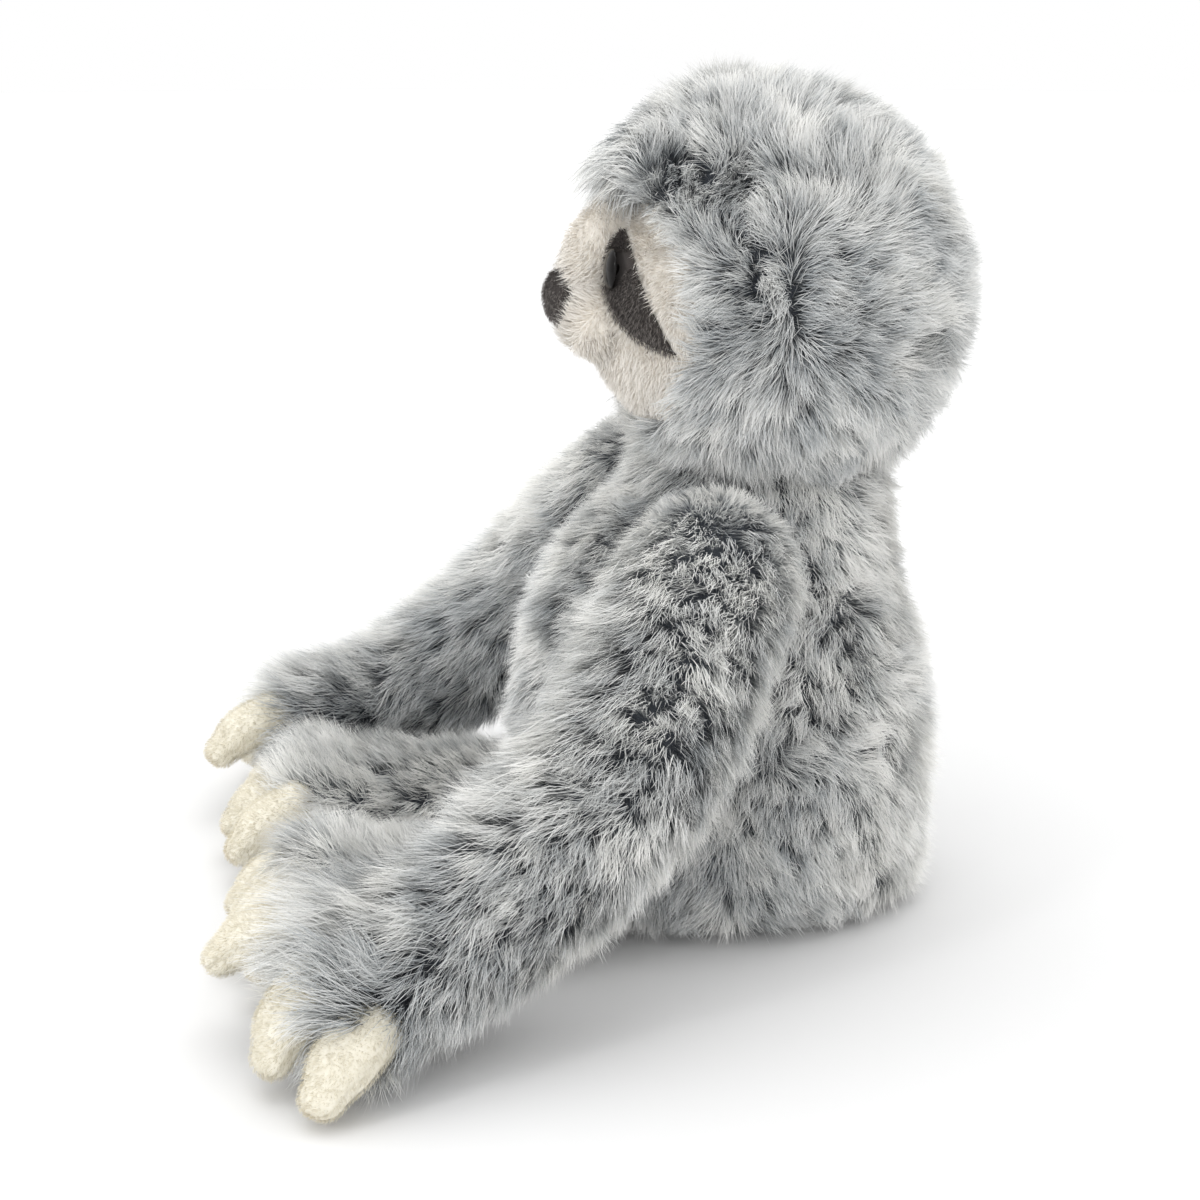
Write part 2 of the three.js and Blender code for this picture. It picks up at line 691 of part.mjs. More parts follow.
function legPieces() {
  const lining = (inset) => solid(legForm(inset, liningSides, liningRows));
  const torso = torsoForm(liningSides, liningRows, -workingGap - coarseSlack);
  const passingTorso = [0, legRaise / 2, legRaise]
    .map((angle) => solid(turnedAbout(torso, hipPivot, leftward, angle)))
    .reduce((swept, place) => swept.add(place))
    .subtract(ball(hipPivot, hipRadius, hipSides));
  const whole = solid(legForm(0, limbSides, limbRows)).subtract(passingTorso);
  const mouth = ball(hipPivot.clone().addScaledVector(forward, -hipRadius),
    hipRadius * mouthShare, clawSides);
  return {
    skin: whole.subtract(lining(furDepth).add(mouth)),
    filling: lining(furDepth + seamGap).intersect(whole),
    claws: clawSet({
      end: footEnd(),
      turn: footTurn,
      roll: 0,
      places: footClawPlaces,
      turns: footClawTurns,
      droops: footClawDroops,
      inset: 0,
      width: footWidth,
      tipRadius: ((footWidth + footThickness) / 4) * footTipShare,
      room: solid(legForm(-seamGap, limbSides, limbRows)),
    }),
  };
}

function pieceMesh(name, body, finish, pivot) {
  const geometry = (body.isBufferGeometry ? body : geometryOf(body)).clone();
  geometry.translate(-pivot.x, -pivot.y, -pivot.z);
  const mesh = new THREE.Mesh(geometry, new THREE.MeshStandardMaterial(finish));
  mesh.name = name;
  return mesh;
}

function bodyGroup(pieces, pivot) {
  const body = new THREE.Group();
  body.position.copy(pivot);
  for (const [name, [piece, finish]] of Object.entries(pieces)) {
    body.add(pieceMesh(name, piece, finish, pivot));
  }
  return body;
}

function limbGroup(pieces, pivot, limb, end, side) {
  const name = side > 0 ? 'left' : 'right';
  const shape = (piece) => (side > 0 ? geometryOf(piece) : mirrored(geometryOf(piece)));
  const claws = ['inner', 'middle', 'outer'];
  const named = {
    [`${limb}_skin_${name}`]: [shape(pieces.skin), greyFur],
    [`${limb}_filling_${name}`]: [shape(pieces.filling), fibreFilling],
  };
  pieces.claws.forEach((claw, i) => {
    named[`${end}_claw_${name}_${claws[i]}`] = [shape(claw), clawPile];
  });
  return bodyGroup(named, new THREE.Vector3(side * pivot.x, pivot.y, pivot.z));
}

const group = new THREE.Group();
group.add(bodyGroup(torsoPieces(), new THREE.Vector3()));
group.add(bodyGroup(headPieces(), neckPivot));
const arm = armPieces();
const leg = legPieces();
for (const side of [1, -1]) {
  group.add(limbGroup(arm, shoulderPivot, 'arm', 'hand', side));
  group.add(limbGroup(leg, hipPivot, 'leg', 'foot', side));
}

export default group;
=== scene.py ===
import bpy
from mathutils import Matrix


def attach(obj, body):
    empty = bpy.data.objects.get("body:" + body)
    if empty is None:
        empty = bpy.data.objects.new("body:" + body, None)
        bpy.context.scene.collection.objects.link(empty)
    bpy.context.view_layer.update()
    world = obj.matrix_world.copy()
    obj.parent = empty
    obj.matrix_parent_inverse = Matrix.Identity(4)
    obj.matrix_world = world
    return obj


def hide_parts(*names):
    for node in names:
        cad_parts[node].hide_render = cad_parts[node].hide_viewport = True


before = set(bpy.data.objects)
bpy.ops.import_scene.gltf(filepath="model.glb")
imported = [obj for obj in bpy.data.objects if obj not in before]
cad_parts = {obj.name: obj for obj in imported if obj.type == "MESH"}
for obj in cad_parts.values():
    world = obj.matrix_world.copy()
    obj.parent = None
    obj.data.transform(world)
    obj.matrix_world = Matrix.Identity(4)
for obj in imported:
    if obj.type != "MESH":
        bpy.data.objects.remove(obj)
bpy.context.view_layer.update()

import math
from collections import namedtuple

import bmesh
import bpy
import numpy as np
from mathutils import Matrix, Vector, kdtree

# A sitting plush sloth in long frosted fur, with a short-pile face and claws.
# Lengths are in millimetres until a mesh is made. It faces -Y, and its own left is +X.
MM = 0.001
FUR_MAP = "OFBake"  # across the map: shade of a strand; up the map: root to tip
SEED = 29
SIDES = {"left": 1, "right": -1}
UP = np.array([0, 0, 1.0])
DOWN = -UP
FORWARD = np.array([0, -1.0, 0])

# Camera
CAMERA_AZIMUTH = math.radians(81)
CAMERA_ELEVATION = math.radians(15)
CAMERA_DISTANCE = 850
PICTURE_SIZE = 1200  # pixels
FOCAL_PIXELS = 2337.5
SEAT_PIXEL = (720, 883)  # where the middle of the seat's underside shows

# Torso, as in the solid part: each ring's height, width, depth and backward shift
TORSO_WIDTH, TORSO_DEPTH, TORSO_HEIGHT = 144, 156, 156
TORSO_RINGS = np.array([
    [0.00, 0.74, 0.90, 0.008],
    [0.07, 0.88, 0.97, 0.006],
    [0.28, 1.00, 1.00, 0.004],
    [0.57, 0.94, 0.97, -0.008],
    [0.77, 0.84, 0.83, -0.005],
    [0.92, 0.74, 0.68, 0.060],
    [1.00, 0.62, 0.56, 0.090],
]) * (TORSO_HEIGHT, TORSO_WIDTH, TORSO_DEPTH, TORSO_DEPTH)
TORSO_DOME = 34  # height of the rounded top
SEAT_SEAM_HEIGHT = 42
SIDE_SEAM_SETBACK = 20
NECK = np.array([0, 14, 150.0])
NECK_CUP = 38  # radius of the hollow under the head

# Head and face
HEAD_MIDDLE = np.array([0, 14, 216.0])
HEAD_RADII = np.array([74, 69, 73.0])
HEAD_FUR_DEPTH = 9.5
BROW_FULLNESS = 3.5
GUSSET_WIDTH = 46
FRINGE_WIDTH = 24  # the fringe's reach each way from the middle
EAR_PARTING = (68, 6, 212, 238)  # across, back, and the heights between which it runs
FACE_MIDDLE = np.array([0, 0, 210.0])
FACE_RADII = np.array([56, 48, 47.0])
OPENING_MIDDLE = 214  # height
OPENING_RADII = np.array([53, 42.0])
MUZZLE_MIDDLE = np.array([0, -40, 207.0])
MUZZLE_RADII = np.array([24, 18, 16.0])
BRIDGE_MIDDLE = np.array([0, -40, 223.0])
BRIDGE_RADII = np.array([13, 18, 27.5])
NOSE_MIDDLE = np.array([0, -57.6, 214.5])
NOSE_RADII = np.array([11, 6.2, 9.8])
EYE_PLACE = (22.5, 226)
EYE_RADIUS = 7
EYE_CROWN = 2.8
STEM_RADIUS = 2
STEM_DEPTH = 11.8
PATCH_PLACE = (27.5, 219.5)
PATCH_LENGTH = 53
PATCH_WIDTH = 15
PATCH_TILT = math.radians(46)
PATCH_THICKNESS = 2.4

# Arms and legs, on the left side
SHOULDER = np.array([69, -19, 134.0])
SHOULDER_AXIS = np.array([0.944, 0.116, 0.309])
SHOULDER_SEAT = 17
SEAT_ROOM = 4  # each pad stands back from the seat, which the pile fills
SEAT_PRESS = 2  # where pressing starts, before the seat
SEAT_OVERLAP = 2.5  # how far pile reaches across the seat
ARM_ROUTE = np.array([[69, -19, 134], [105, -52, 82], [121, -100, 42], [126, -142, 27.1]])
ARM_WIDTHS = np.array([68, 65, 60, 80.0])
ARM_HEIGHTS = np.array([68, 65, 60, 48.0])
HAND_ROLL = math.radians(16)
ARM_ROOT, HAND_TIP = 34, 0.62 * 32  # how far the rounded ends reach past the route
HIP = np.array([40, -56, 23.5])
HIP_HOLLOW = 18  # radius of the torso's hollow round each hip
LEG_ROUTE = np.array([[40, -56, 23.5], [45, -92, 23.5], [50, -143, 24.5]])
LEG_WIDTHS = np.array([56, 62, 74.0])
LEG_HEIGHTS = np.array([46, 46, 48.0])
LEG_ROOT, FOOT_TIP = 25.5, 0.55 * 30.5
END_ROOM = 1.3  # a rounded end's share of a ball drawn over a form
HIDDEN_SHOULDER = 11  # radii within which strands would never be seen
HIDDEN_HIP = 21

# Claws: places across the hand or foot, turns outward and droops below level, in degrees
CLAW_LENGTH = 22
CLAW_WIDTH = 22
CLAW_THICKNESS = 17
CLAW_ROOT = 9
CLAW_REACH = 0.74 * CLAW_LENGTH  # where the rounded tip begins
CLAW_CURL = 0.12 * CLAW_LENGTH
CLAW_TAPER = 0.28
CLAW_SEAM_DEPTH = 0.8
CLAW_PILE_DEPTH = 0.6
HAND_CLAWS = {"inner": (-30, -20, 22), "middle": (5, 30, 46), "outer": (29, 42, 28)}
FOOT_CLAWS = {"inner": (-24, -6, 30), "middle": (0, 6, 30), "outer": (24, 18, 30)}

# Pile
FUR_DEPTH = 10.5  # backing cloth to the brushed surface
FUR_LENGTH = 12.5
FUR_WIDTHS = 0.31 * np.array([0.8, 1.0])  # of a strand at its root and half way up
FUR_DENSITY = 2.9  # strands to the square millimetre
TORSO_FUR_DENSITY = 2.4
ARM_FUR_DENSITY = 2.25
TUFT_SPACING = 4.4
# Each half of a strand: degrees from the skin, share of the length, pull toward the tuft's
# middle, and droop where the fur hangs
FUR_SEGMENTS = ((68, 0.46, 0.35, 22), (44, 0.54, 0.40, 33))
SHORT_PILE_DEPTH = 1.5
SHORT_PILE_LEANS = (70, 40)  # degrees from the skin, lower half and upper half
SHORT_PILE_TAPER = np.array([1.0, 0.8])
FLOOR_CLEARANCE = 0.4


# ---- small sums

def unit(vectors):
    return vectors / np.maximum(np.linalg.norm(vectors, axis=-1, keepdims=True), 1e-9)


def flattened(vectors, normals):
    """What is left of each vector along the surface."""
    return vectors - normals * (vectors * normals).sum(axis=-1, keepdims=True)


def turned(vector, axis, angle):
    return np.array(Matrix.Rotation(angle, 3, Vector(axis)) @ Vector(vector))


def rise(values, start, width):
    """0 up to the start, then 1 from one width further on."""
    return np.clip((values - start) / width, 0, 1)


def fall(values, end, width):
    """1 up to one width before the end, then 0 from the end on."""
    return np.clip((end - values) / width, 0, 1)


def patchy(points, size, seed):
    """Smooth random values from -1 to 1, in patches of about that size."""
    lattice = np.random.default_rng(seed).uniform(-1, 1, (32, 32, 32))
    places = points / size
    corner = np.floor(places).astype(int)
    share = places - corner
    share = share * share * (3 - 2 * share)
    total = np.zeros(len(points))
    for step in np.ndindex(2, 2, 2):
        weight = np.prod(np.where(step, share, 1 - share), axis=1)
        total += weight * lattice[tuple((corner + step).T % 32)]
    return total


def patchy_directions(points, size, seed):
    return np.stack([patchy(points, size, seed + k) for k in range(3)], axis=1)


# ---- curves and forms

def smooth_between(start, end, leave, arrive, share):
    return ((2 * start - 2 * end + leave + arrive) * share ** 3
            + (3 * end - 3 * start - 2 * leave - arrive) * share ** 2
            + leave * share + start)


def span_of(count, share):
    place = np.clip(share, 0, 1) * (count - 1)
    span = np.minimum(place.astype(int), count - 2)
    return span, place - span


def smooth_value(values, share):
    """A smooth run through evenly spaced values."""
    last = len(values) - 1
    span, within = span_of(len(values), share)
    before, start = values[np.maximum(span - 1, 0)], values[span]
    end, after = values[span + 1], values[np.minimum(span + 2, last)]
    return smooth_between(start, end, (end - before) / 2, (after - start) / 2, within)


def ball_places(ball):
    """How far along from the lower pole each point of a ball is, and its angle around."""
    along = 1 - np.arccos(np.clip(ball[:, 2], -1, 1)) / math.pi
    return along, np.arctan2(ball[:, 1], ball[:, 0])


def centreline(route, share):
    """A smooth line through the points of the route, as in the solid part."""
    knots = np.vstack([2 * route[0] - route[1], route, 2 * route[-1] - route[-2]])
    span, within = span_of(len(route), share)
    before, start, end, after = (knots[span + k] for k in range(4))

    def gap(a, b):
        return np.sqrt(np.linalg.norm(b - a, axis=1, keepdims=True))

    first, middle, last = gap(before, start), gap(start, end), gap(end, after)
    leave = ((start - before) / first - (end - before) / (first + middle)
             + (end - start) / middle) * middle
    arrive = ((end - start) / middle - (after - start) / (middle + last)
              + (after - end) / last) * middle
    return smooth_between(start, end, leave, arrive, within[:, None])


class Form(namedtuple("Form", "route widths heights width_along root_length tip_length"
                      " facing shares", defaults=(None, (0, 1)))):
    """Oval rings along a smooth centreline, with rounded or flat ends."""

    def surface(self, ball, inset):
        """A ball drawn over the form: its points and their onward directions."""
        along, around = ball_places(ball)
        body = np.linalg.norm(np.diff(self.route, axis=0), axis=1).sum()
        ends = (self.widths[0] + self.heights[0]) / 4, (self.widths[-1] + self.heights[-1]) / 4
        root_part, tip_part = (
            END_ROOM * size / (body + END_ROOM * sum(ends)) for size in ends)
        share = rise(along, root_part, 1 - root_part - tip_part)
        share = self.shares[0] + share * (self.shares[1] - self.shares[0])
        root_turn = np.clip(1 - along / root_part, 0, 1) * math.pi / 2
        tip_turn = np.clip(1 - (1 - along) / tip_part, 0, 1) * math.pi / 2
        step = 1e-3
        onward = unit(centreline(self.route, np.minimum(share + step, 1))
                      - centreline(self.route, np.maximum(share - step, 0)))
        if self.facing is not None:
            onward = np.broadcast_to(self.facing, onward.shape)
        across = unit(flattened(self.width_along, onward))
        high = np.cross(onward, across)
        shrink = (np.cos(root_turn) * np.cos(tip_turn))[:, None]
        half_width = (smooth_value(self.widths, share)[:, None] / 2 - inset) * shrink
        half_height = (smooth_value(self.heights, share)[:, None] / 2 - inset) * shrink
        advance = self.tip_length * np.sin(tip_turn) - self.root_length * np.sin(root_turn)
        points = (centreline(self.route, share) + onward * advance[:, None]
                  + across * half_width * np.cos(around)[:, None]
                  + high * half_height * np.sin(around)[:, None])
        return points, onward


def add_object(name, data):
    thing = bpy.data.objects.new(name, data)
    bpy.context.collection.objects.link(thing)
    return thing


def add_solid(name, bm, finish):
    """A finished object, smooth all over."""
    mesh = bpy.data.meshes.new(name)
    bm.to_mesh(mesh)
    bm.free()
    mesh.shade_smooth()
    mesh.materials.append(finish)
    return add_object(name, mesh)


def face_outward(bm):
    bmesh.ops.recalc_face_normals(bm, faces=bm.faces)
    if bm.calc_volume(signed=True) < 0:
        bmesh.ops.reverse_faces(bm, faces=bm.faces)
    bm.normal_update()


def revolved(profile, segments):
    """A closed mesh round the Z axis. The profile starts and ends on the axis."""
    bm = bmesh.new()
    turns = [2 * math.pi * k / segments for k in range(segments)]
    start, end = (bm.verts.new((0, 0, height)) for _, height in (profile[0], profile[-1]))
    rings = [[bm.verts.new((radius * math.cos(turn), radius * math.sin(turn), height))
              for turn in turns] for radius, height in profile[1:-1]]
    for k in range(segments):
        after = (k + 1) % segments
        bm.faces.new((start, rings[0][k], rings[0][after]))
        for one, two in zip(rings, rings[1:]):
            bm.faces.new((one[k], two[k], two[after], one[after]))
        bm.faces.new((rings[-1][k], end, rings[-1][after]))
    bm.verts.index_update()
    return bm


class Skin:
    """A closed shell, shaped from a ball, that pile can be grown on."""

    def __init__(self, shape, segments, rings, side=1):
        self.bm = revolved([(math.sin(angle), math.cos(angle))
                            for angle in np.linspace(0, math.pi, rings + 1)], segments)
        points, onward = shape(np.array([vert.co[:] for vert in self.bm.verts]))
        self.side = side
        self.move_to(points)
        face_outward(self.bm)
        self.onward = np.broadcast_to(onward, points.shape)
        self.normals = np.array([vert.normal[:] for vert in self.bm.verts])
        self.triangles = np.array(
            [[loop.vert.index for loop in loops] for loops in self.bm.calc_loop_triangles()])

    def move_to(self, points):
        self.points = points
        for vert, point in zip(self.bm.verts, points):
            vert.co = point

    def swell(self, distance, size, seed):
        """Soft lumps of stuffing."""
        lumps = distance * patchy(self.points, size, seed)
        self.move_to(self.points + self.normals * lumps[:, None])

    def scatter(self, density, dice):
        """Roots spread evenly over the skin: places, normals and onward directions."""
        corners = self.points[self.triangles]
        areas = np.linalg.norm(np.cross(corners[:, 1] - corners[:, 0],
                                        corners[:, 2] - corners[:, 0]), axis=1) / 2
        count = int(areas.sum() * density)
        picks = self.triangles[dice.choice(len(areas), count, p=areas / areas.sum())]
        one, two = dice.random((2, count))
        beyond = one + two > 1
        one, two = np.where(beyond, 1 - one, one), np.where(beyond, 1 - two, two)
        weights = np.stack([1 - one - two, one, two], axis=1)[:, :, None]
        return ((self.points[picks] * weights).sum(axis=1),
                unit((self.normals[picks] * weights).sum(axis=1)),
                unit((self.onward[picks] * weights).sum(axis=1)))

    def piece(self, name, finish):
        """The shell as a finished object."""
        bm = self.bm.copy()
        bmesh.ops.scale(bm, vec=(self.side * MM, MM, MM), verts=bm.verts)
        face_outward(bm)
        return add_solid(name, bm, finish)


# ---- pile

def strand_piece(name, lines, sideways, widths, shades, finish, side):
    """Pile as tapered ribbons. lines holds each strand's points from root to tip."""
    count, rows = lines.shape[:2]
    half = sideways[:, None] * widths[None, :, None] / 2
    corners = np.concatenate([lines[:, :-1] - half, lines[:, :-1] + half, lines[:, -1:]], axis=1)
    corners[..., 0] *= side
    size = corners.shape[1]
    wide = rows - 1
    faces = [(k, wide + k, wide + k + 1, k + 1) for k in range(wide - 1)]
    faces.append((wide - 1, 2 * wide - 1, 2 * wide))
    pattern = np.array([corner for face in faces for corner in face])
    starts = np.cumsum([0] + [len(face) for face in faces[:-1]])
    base = np.arange(count)[:, None]
    loops = (base * size + pattern).ravel()
    mesh = bpy.data.meshes.new(name)
    mesh.vertices.add(count * size)
    mesh.vertices.foreach_set("co", (corners * MM).ravel().astype(np.float32))
    mesh.loops.add(len(loops))
    mesh.loops.foreach_set("vertex_index", loops.astype(np.int32))
    mesh.polygons.add(count * len(faces))
    starts = (base * len(pattern) + starts).ravel()
    mesh.polygons.foreach_set("loop_start", starts.astype(np.int32))
    mesh.update(calc_edges=True)
    heights = np.linspace(0, 1, rows)
    half_chart = 0.012  # half a strand's width on the map
    across = np.concatenate([np.full(wide, -half_chart), np.full(wide, half_chart), [0]])
    up = np.concatenate([heights[:-1], heights[:-1], [1]])
    shade = np.clip(shades, 0.02, 0.98)[:, None] + across[pattern][None]
    places = np.stack([shade, np.broadcast_to(up[pattern], shade.shape)], axis=2)
    chart = mesh.uv_layers.new(name=FUR_MAP)
    chart.uv.foreach_set("vector", places.ravel().astype(np.float32))
    mesh.validate()
    mesh.materials.append(finish)
    return add_object(name, mesh)


def tufts_of(skin, dice):
    """Middles of the tufts, and a tree that finds the nearest."""
    middles = skin.scatter(1 / TUFT_SPACING ** 2, dice)[0]
    tree = kdtree.KDTree(len(middles))
    for k, middle in enumerate(middles):
        tree.insert(middle, k)
    tree.balance()
    return middles, tree


def strand_sides(beside, normals, dice):
    """The way each flat strand is wide, turned at random about its length."""
    twist = dice.normal(0, 0.7, len(beside))[:, None]
    return unit(beside * np.cos(twist) + normals * np.sin(twist))


def long_pile(skin, lay, seed, density, keep, lengthen, tint, hang):
    """Strands of long fur that lean along the lay and draw together in tufts."""
    dice = np.random.default_rng(seed)
    roots, normals, onward = skin.scatter(density, dice)
    kept = keep(roots, normals)
    roots, normals, onward = roots[kept], normals[kept], onward[kept]
    count = len(roots)
    middles, tree = tufts_of(skin, dice)
    tuft = np.array([tree.find(root)[1] for root in roots])
    tuft_dice = np.random.default_rng(seed + 1)
    tufts = len(middles)
    tuft_lean = tuft_dice.normal(0, 8, tufts)[tuft]
    tuft_sway = tuft_dice.normal(0, 0.30, tufts)[tuft]
    tuft_length = tuft_dice.uniform(0.86, 1.12, tufts)[tuft]
    tuft_shade = tuft_dice.normal(0, 0.12, tufts)[tuft]
    tuft_pull = tuft_dice.uniform(0.1, 0.6, tufts)[tuft]

    swirl = (patchy_directions(roots, 17, seed + 3) * 0.9
             + patchy_directions(roots, 7, seed + 5) * 0.5)
    flow = flattened(lay(roots, normals, onward) + swirl, normals)
    firmness = np.linalg.norm(flow, axis=1)
    flow = unit(flow)
    beside = np.cross(normals, flow)
    upright = 16 * np.exp(-(firmness / 0.5) ** 2) + 7 * patchy(roots, 11, seed + 6)
    lengths = FUR_LENGTH * tuft_length * dice.uniform(0.74, 1.14, count)
    lengths *= lengthen(roots, normals)
    toward = flattened(middles[tuft] - roots, normals)
    hanging = hang(roots) if hang else np.zeros(count)
    line = [roots]
    for lean, share, pull, droop in FUR_SEGMENTS:
        upright = upright * (1 - hanging) - droop * hanging
        angle = np.radians(np.clip(lean + upright + tuft_lean + dice.normal(0, 9, count), 5, 92))
        angle = angle[:, None]
        sway = (tuft_sway + dice.normal(0, 0.22, count))[:, None]
        step = unit(flow * np.cos(angle) + normals * np.sin(angle) + beside * sway)
        reach = step * (lengths * share)[:, None] + toward * (pull * tuft_pull)[:, None]
        line.append(line[-1] + reach)
    sideways = strand_sides(beside, normals, dice)
    # The tint holds tone, and for the torso, head, arms and legs painted shade and painted light
    # as well.
    shades = (0.55 + tint(roots, normals) + 0.46 * patchy(roots, 12, seed + 7)
              + 0.34 * patchy(roots, 5, seed + 8) + tuft_shade + dice.normal(0, 0.17, count))
    return np.stack(line, 1), sideways, shades


def short_pile(skin, seed, density, length, lay, keep):
    """Strands of short pile. The length and the lay are fixed, or worked out at the roots."""
    dice = np.random.default_rng(seed)
    roots, normals, _ = skin.scatter(density, dice)
    if keep:
        kept = keep(roots, normals)
        roots, normals = roots[kept], normals[kept]
    count = len(roots)
    lay = lay(roots) if callable(lay) else np.array(lay)
    flow = unit(flattened(lay + patchy_directions(roots, 7, seed + 3) * 0.8, normals))
    beside = np.cross(normals, flow)
    lengths = (length(roots) if callable(length) else length) * dice.uniform(0.7, 1.15, count)
    line = [roots - normals * 0.3]
    for lean in SHORT_PILE_LEANS:
        angle = np.radians(lean + dice.normal(0, 12, count))[:, None]
        sway = dice.normal(0, 0.3, count)[:, None]
        step = unit(flow * np.cos(angle) + normals * np.sin(angle) + beside * sway)
        line.append(line[-1] + step * (lengths / 2)[:, None])
    sideways = strand_sides(beside, normals, dice)
    shades = 0.5 + 0.3 * patchy(roots, 6, seed + 7) + dice.normal(0, 0.12, count)
    return np.stack(line, 1), sideways, shades


# ---- finishes

def colour(*levels):
    """A picture colour, from 0 to 255, as the shader wants it."""
    shares = [level / 255 for level in levels]
    return *(share / 12.92 if share <= 0.04045 else ((share + 0.055) / 1.055) ** 2.4
             for share in shares), 1


class Value:
    """A number or colour inside a graph. Sums on numbers add their Math nodes."""

    def __init__(self, graph, socket):
        self.graph, self.socket = graph, socket

    def joined(self, operation, other):
        return self.graph.node("ShaderNodeMath", {"operation": operation}, {0: self, 1: other})

    def __add__(self, other):
        return self.joined("ADD", other)

    def __mul__(self, other):
        return self.joined("MULTIPLY", other)

    __radd__, __rmul__ = __add__, __mul__


class Graph:
    """The nodes of a material or of the world."""

    def __init__(self, owner):
        owner.use_nodes = True
        self.nodes, self.links = owner.node_tree.nodes, owner.node_tree.links

    def fill(self, socket, value):
        if isinstance(value, Value):
            self.links.new(value.socket, socket)
        else:
            socket.default_value = value

    def node(self, kind, settings=None, sockets=None, output=0):
        node = self.nodes.new(kind)
        for key, setting in (settings or {}).items():
            if key == "stops":
                ramp = node.color_ramp
                while len(ramp.elements) < len(setting):
                    ramp.elements.new(0.5)
                for element, (place, tint) in zip(ramp.elements, setting):
                    element.position, element.color = place, colour(*tint)
            else:
                setattr(node, key, setting)
        for key, value in (sockets or {}).items():
            self.fill(node.inputs[key], value)
        return Value(self, node.outputs[output])


class Finish(Graph):
    """A procedural material with one main shader."""

    def __init__(self, name, roughness):
        self.material = bpy.data.materials.new(name)
        super().__init__(self.material)
        self.shader = self.nodes["Principled BSDF"]
        self.set("Roughness", roughness)

    def set(self, socket, value):
        self.fill(self.shader.inputs[socket], value)

    def ramp(self, factor, stops):
        return self.node("ShaderNodeValToRGB", {"stops": stops}, {0: factor})

    def mix(self, factor, first, second):
        return self.node("ShaderNodeMix", {"data_type": "RGBA"},
                         {0: factor, 6: first, 7: second}, 2)

    def noise(self, scale, detail=2.0):
        place = self.node("ShaderNodeTexCoord", output="Object")
        return self.node("ShaderNodeTexNoise", None,
                         {"Vector": place, "Scale": scale, "Detail": detail})

    def bump(self, height, strength, distance):
        self.set("Normal", self.node("ShaderNodeBump", None, {
            "Height": height, "Strength": strength, "Distance": distance * MM}))


def strand_finish(name, dark_stops, light_stops, roughness):
    """Colour from root to tip, between a dark strand and a light one."""
    finish = Finish(name, roughness)
    chart = finish.node("ShaderNodeUVMap", {"uv_map": FUR_MAP})
    split = finish.node("ShaderNodeSeparateXYZ", None, {0: chart})
    height = Value(finish, split.socket.node.outputs[1])
    dark, light = (finish.ramp(height, stops) for stops in (dark_stops, light_stops))
    finish.set("Base Color", finish.mix(split, dark, light))
    return finish.material


def cloth_finish(name, low, high, scale, roughness=0.9, bump=0.4):
    """A knitted backing that shows between the strands."""
    finish = Finish(name, roughness)
    finish.set("Base Color", finish.mix(finish.noise(scale, 3), colour(*low), colour(*high)))
    finish.bump(finish.noise(scale * 6, 2), bump, 0.4)
    return finish.material


Cloth = namedtuple("Cloth", "slot pile backing")


def short_cloth(kind, dark_root, dark_tip, light_root, light_tip, *knit):
    """Short pile on a knitted backing, as a pair of finishes."""
    pile = strand_finish(f"{kind}_pile", [(0, dark_root), (1, dark_tip)],
                         [(0, light_root), (1, light_tip)], 0.85)
    return Cloth(f"{kind}_pile", pile, cloth_finish(f"{kind}_backing", *knit))


# ---- camera, floor and light

def set_camera():
    azimuth, elevation = CAMERA_AZIMUTH, CAMERA_ELEVATION
    ahead = Vector((-math.sin(azimuth) * math.cos(elevation),
                    math.cos(azimuth) * math.cos(elevation), -math.sin(elevation)))
    right = Vector((math.cos(azimuth), math.sin(azimuth), 0))
    above = right.cross(ahead)
    half = PICTURE_SIZE / 2
    across = (SEAT_PIXEL[0] - half) / FOCAL_PIXELS
    up = (half - SEAT_PIXEL[1]) / FOCAL_PIXELS
    place = -CAMERA_DISTANCE * MM * (ahead + across * right + up * above)
    lens = bpy.data.cameras.new("camera")
    lens.angle = 2 * math.atan(half / FOCAL_PIXELS)
    lens.clip_start = 0.01
    camera = add_object("camera", lens)
    turn = Matrix((right, above, -ahead)).transposed().to_4x4()
    camera.matrix_world = Matrix.Translation(place) @ turn
    bpy.context.scene.camera = camera


def add_lamp(name, toward, power, spread):
    """A wide, even, soft light from one side."""
    lamp = bpy.data.lights.new(name, "SUN")
    lamp.energy, lamp.angle = power, math.radians(spread)
    thing = add_object(name, lamp)
    thing.matrix_world = Vector(toward).to_track_quat("Z", "Y").to_matrix().to_4x4()


def seen_by_camera(graph):
    """1 for a ray from the camera, or seen in gloss or glass."""
    rays = graph.nodes.new("ShaderNodeLightPath").outputs
    camera, glossy, clear = (Value(graph, rays[f"Is {kind} Ray"])
                             for kind in ("Camera", "Glossy", "Transmission"))
    return camera + glossy + clear


def set_stage():
    bm = bmesh.new()
    bmesh.ops.create_circle(bm, cap_ends=True, segments=96, radius=6)
    paper = Finish("white_paper", 0.9)
    paper.set("Base Color", (0.83, 0.83, 0.83, 1))
    add_solid("floor", bm, paper.material)

    world = bpy.data.worlds.new("studio")
    bpy.context.scene.world = world
    room = Graph(world)
    background = room.nodes["Background"].inputs
    ambient = 0.9
    room.fill(background["Color"], (1, 1, 1, 1))
    room.fill(background["Strength"], ambient + seen_by_camera(room) * (1 - ambient))
    add_lamp("overhead_lamp", (-0.15, 0.0, 1.0), 0.95, 60)
    add_lamp("side_lamp", (1.0, -0.3, 0.45), 0.85, 100)
    add_lamp("spark_lamp", (0.5, -0.8, 0.6), 0.3, 7)
    bpy.context.scene.view_settings.view_transform = "Standard"


# ---- the body's forms

def seat_distance(points):
    """How far each point is outside the plane on which the left arm sits."""
    return (points - SHOULDER) @ SHOULDER_AXIS + SHOULDER_SEAT


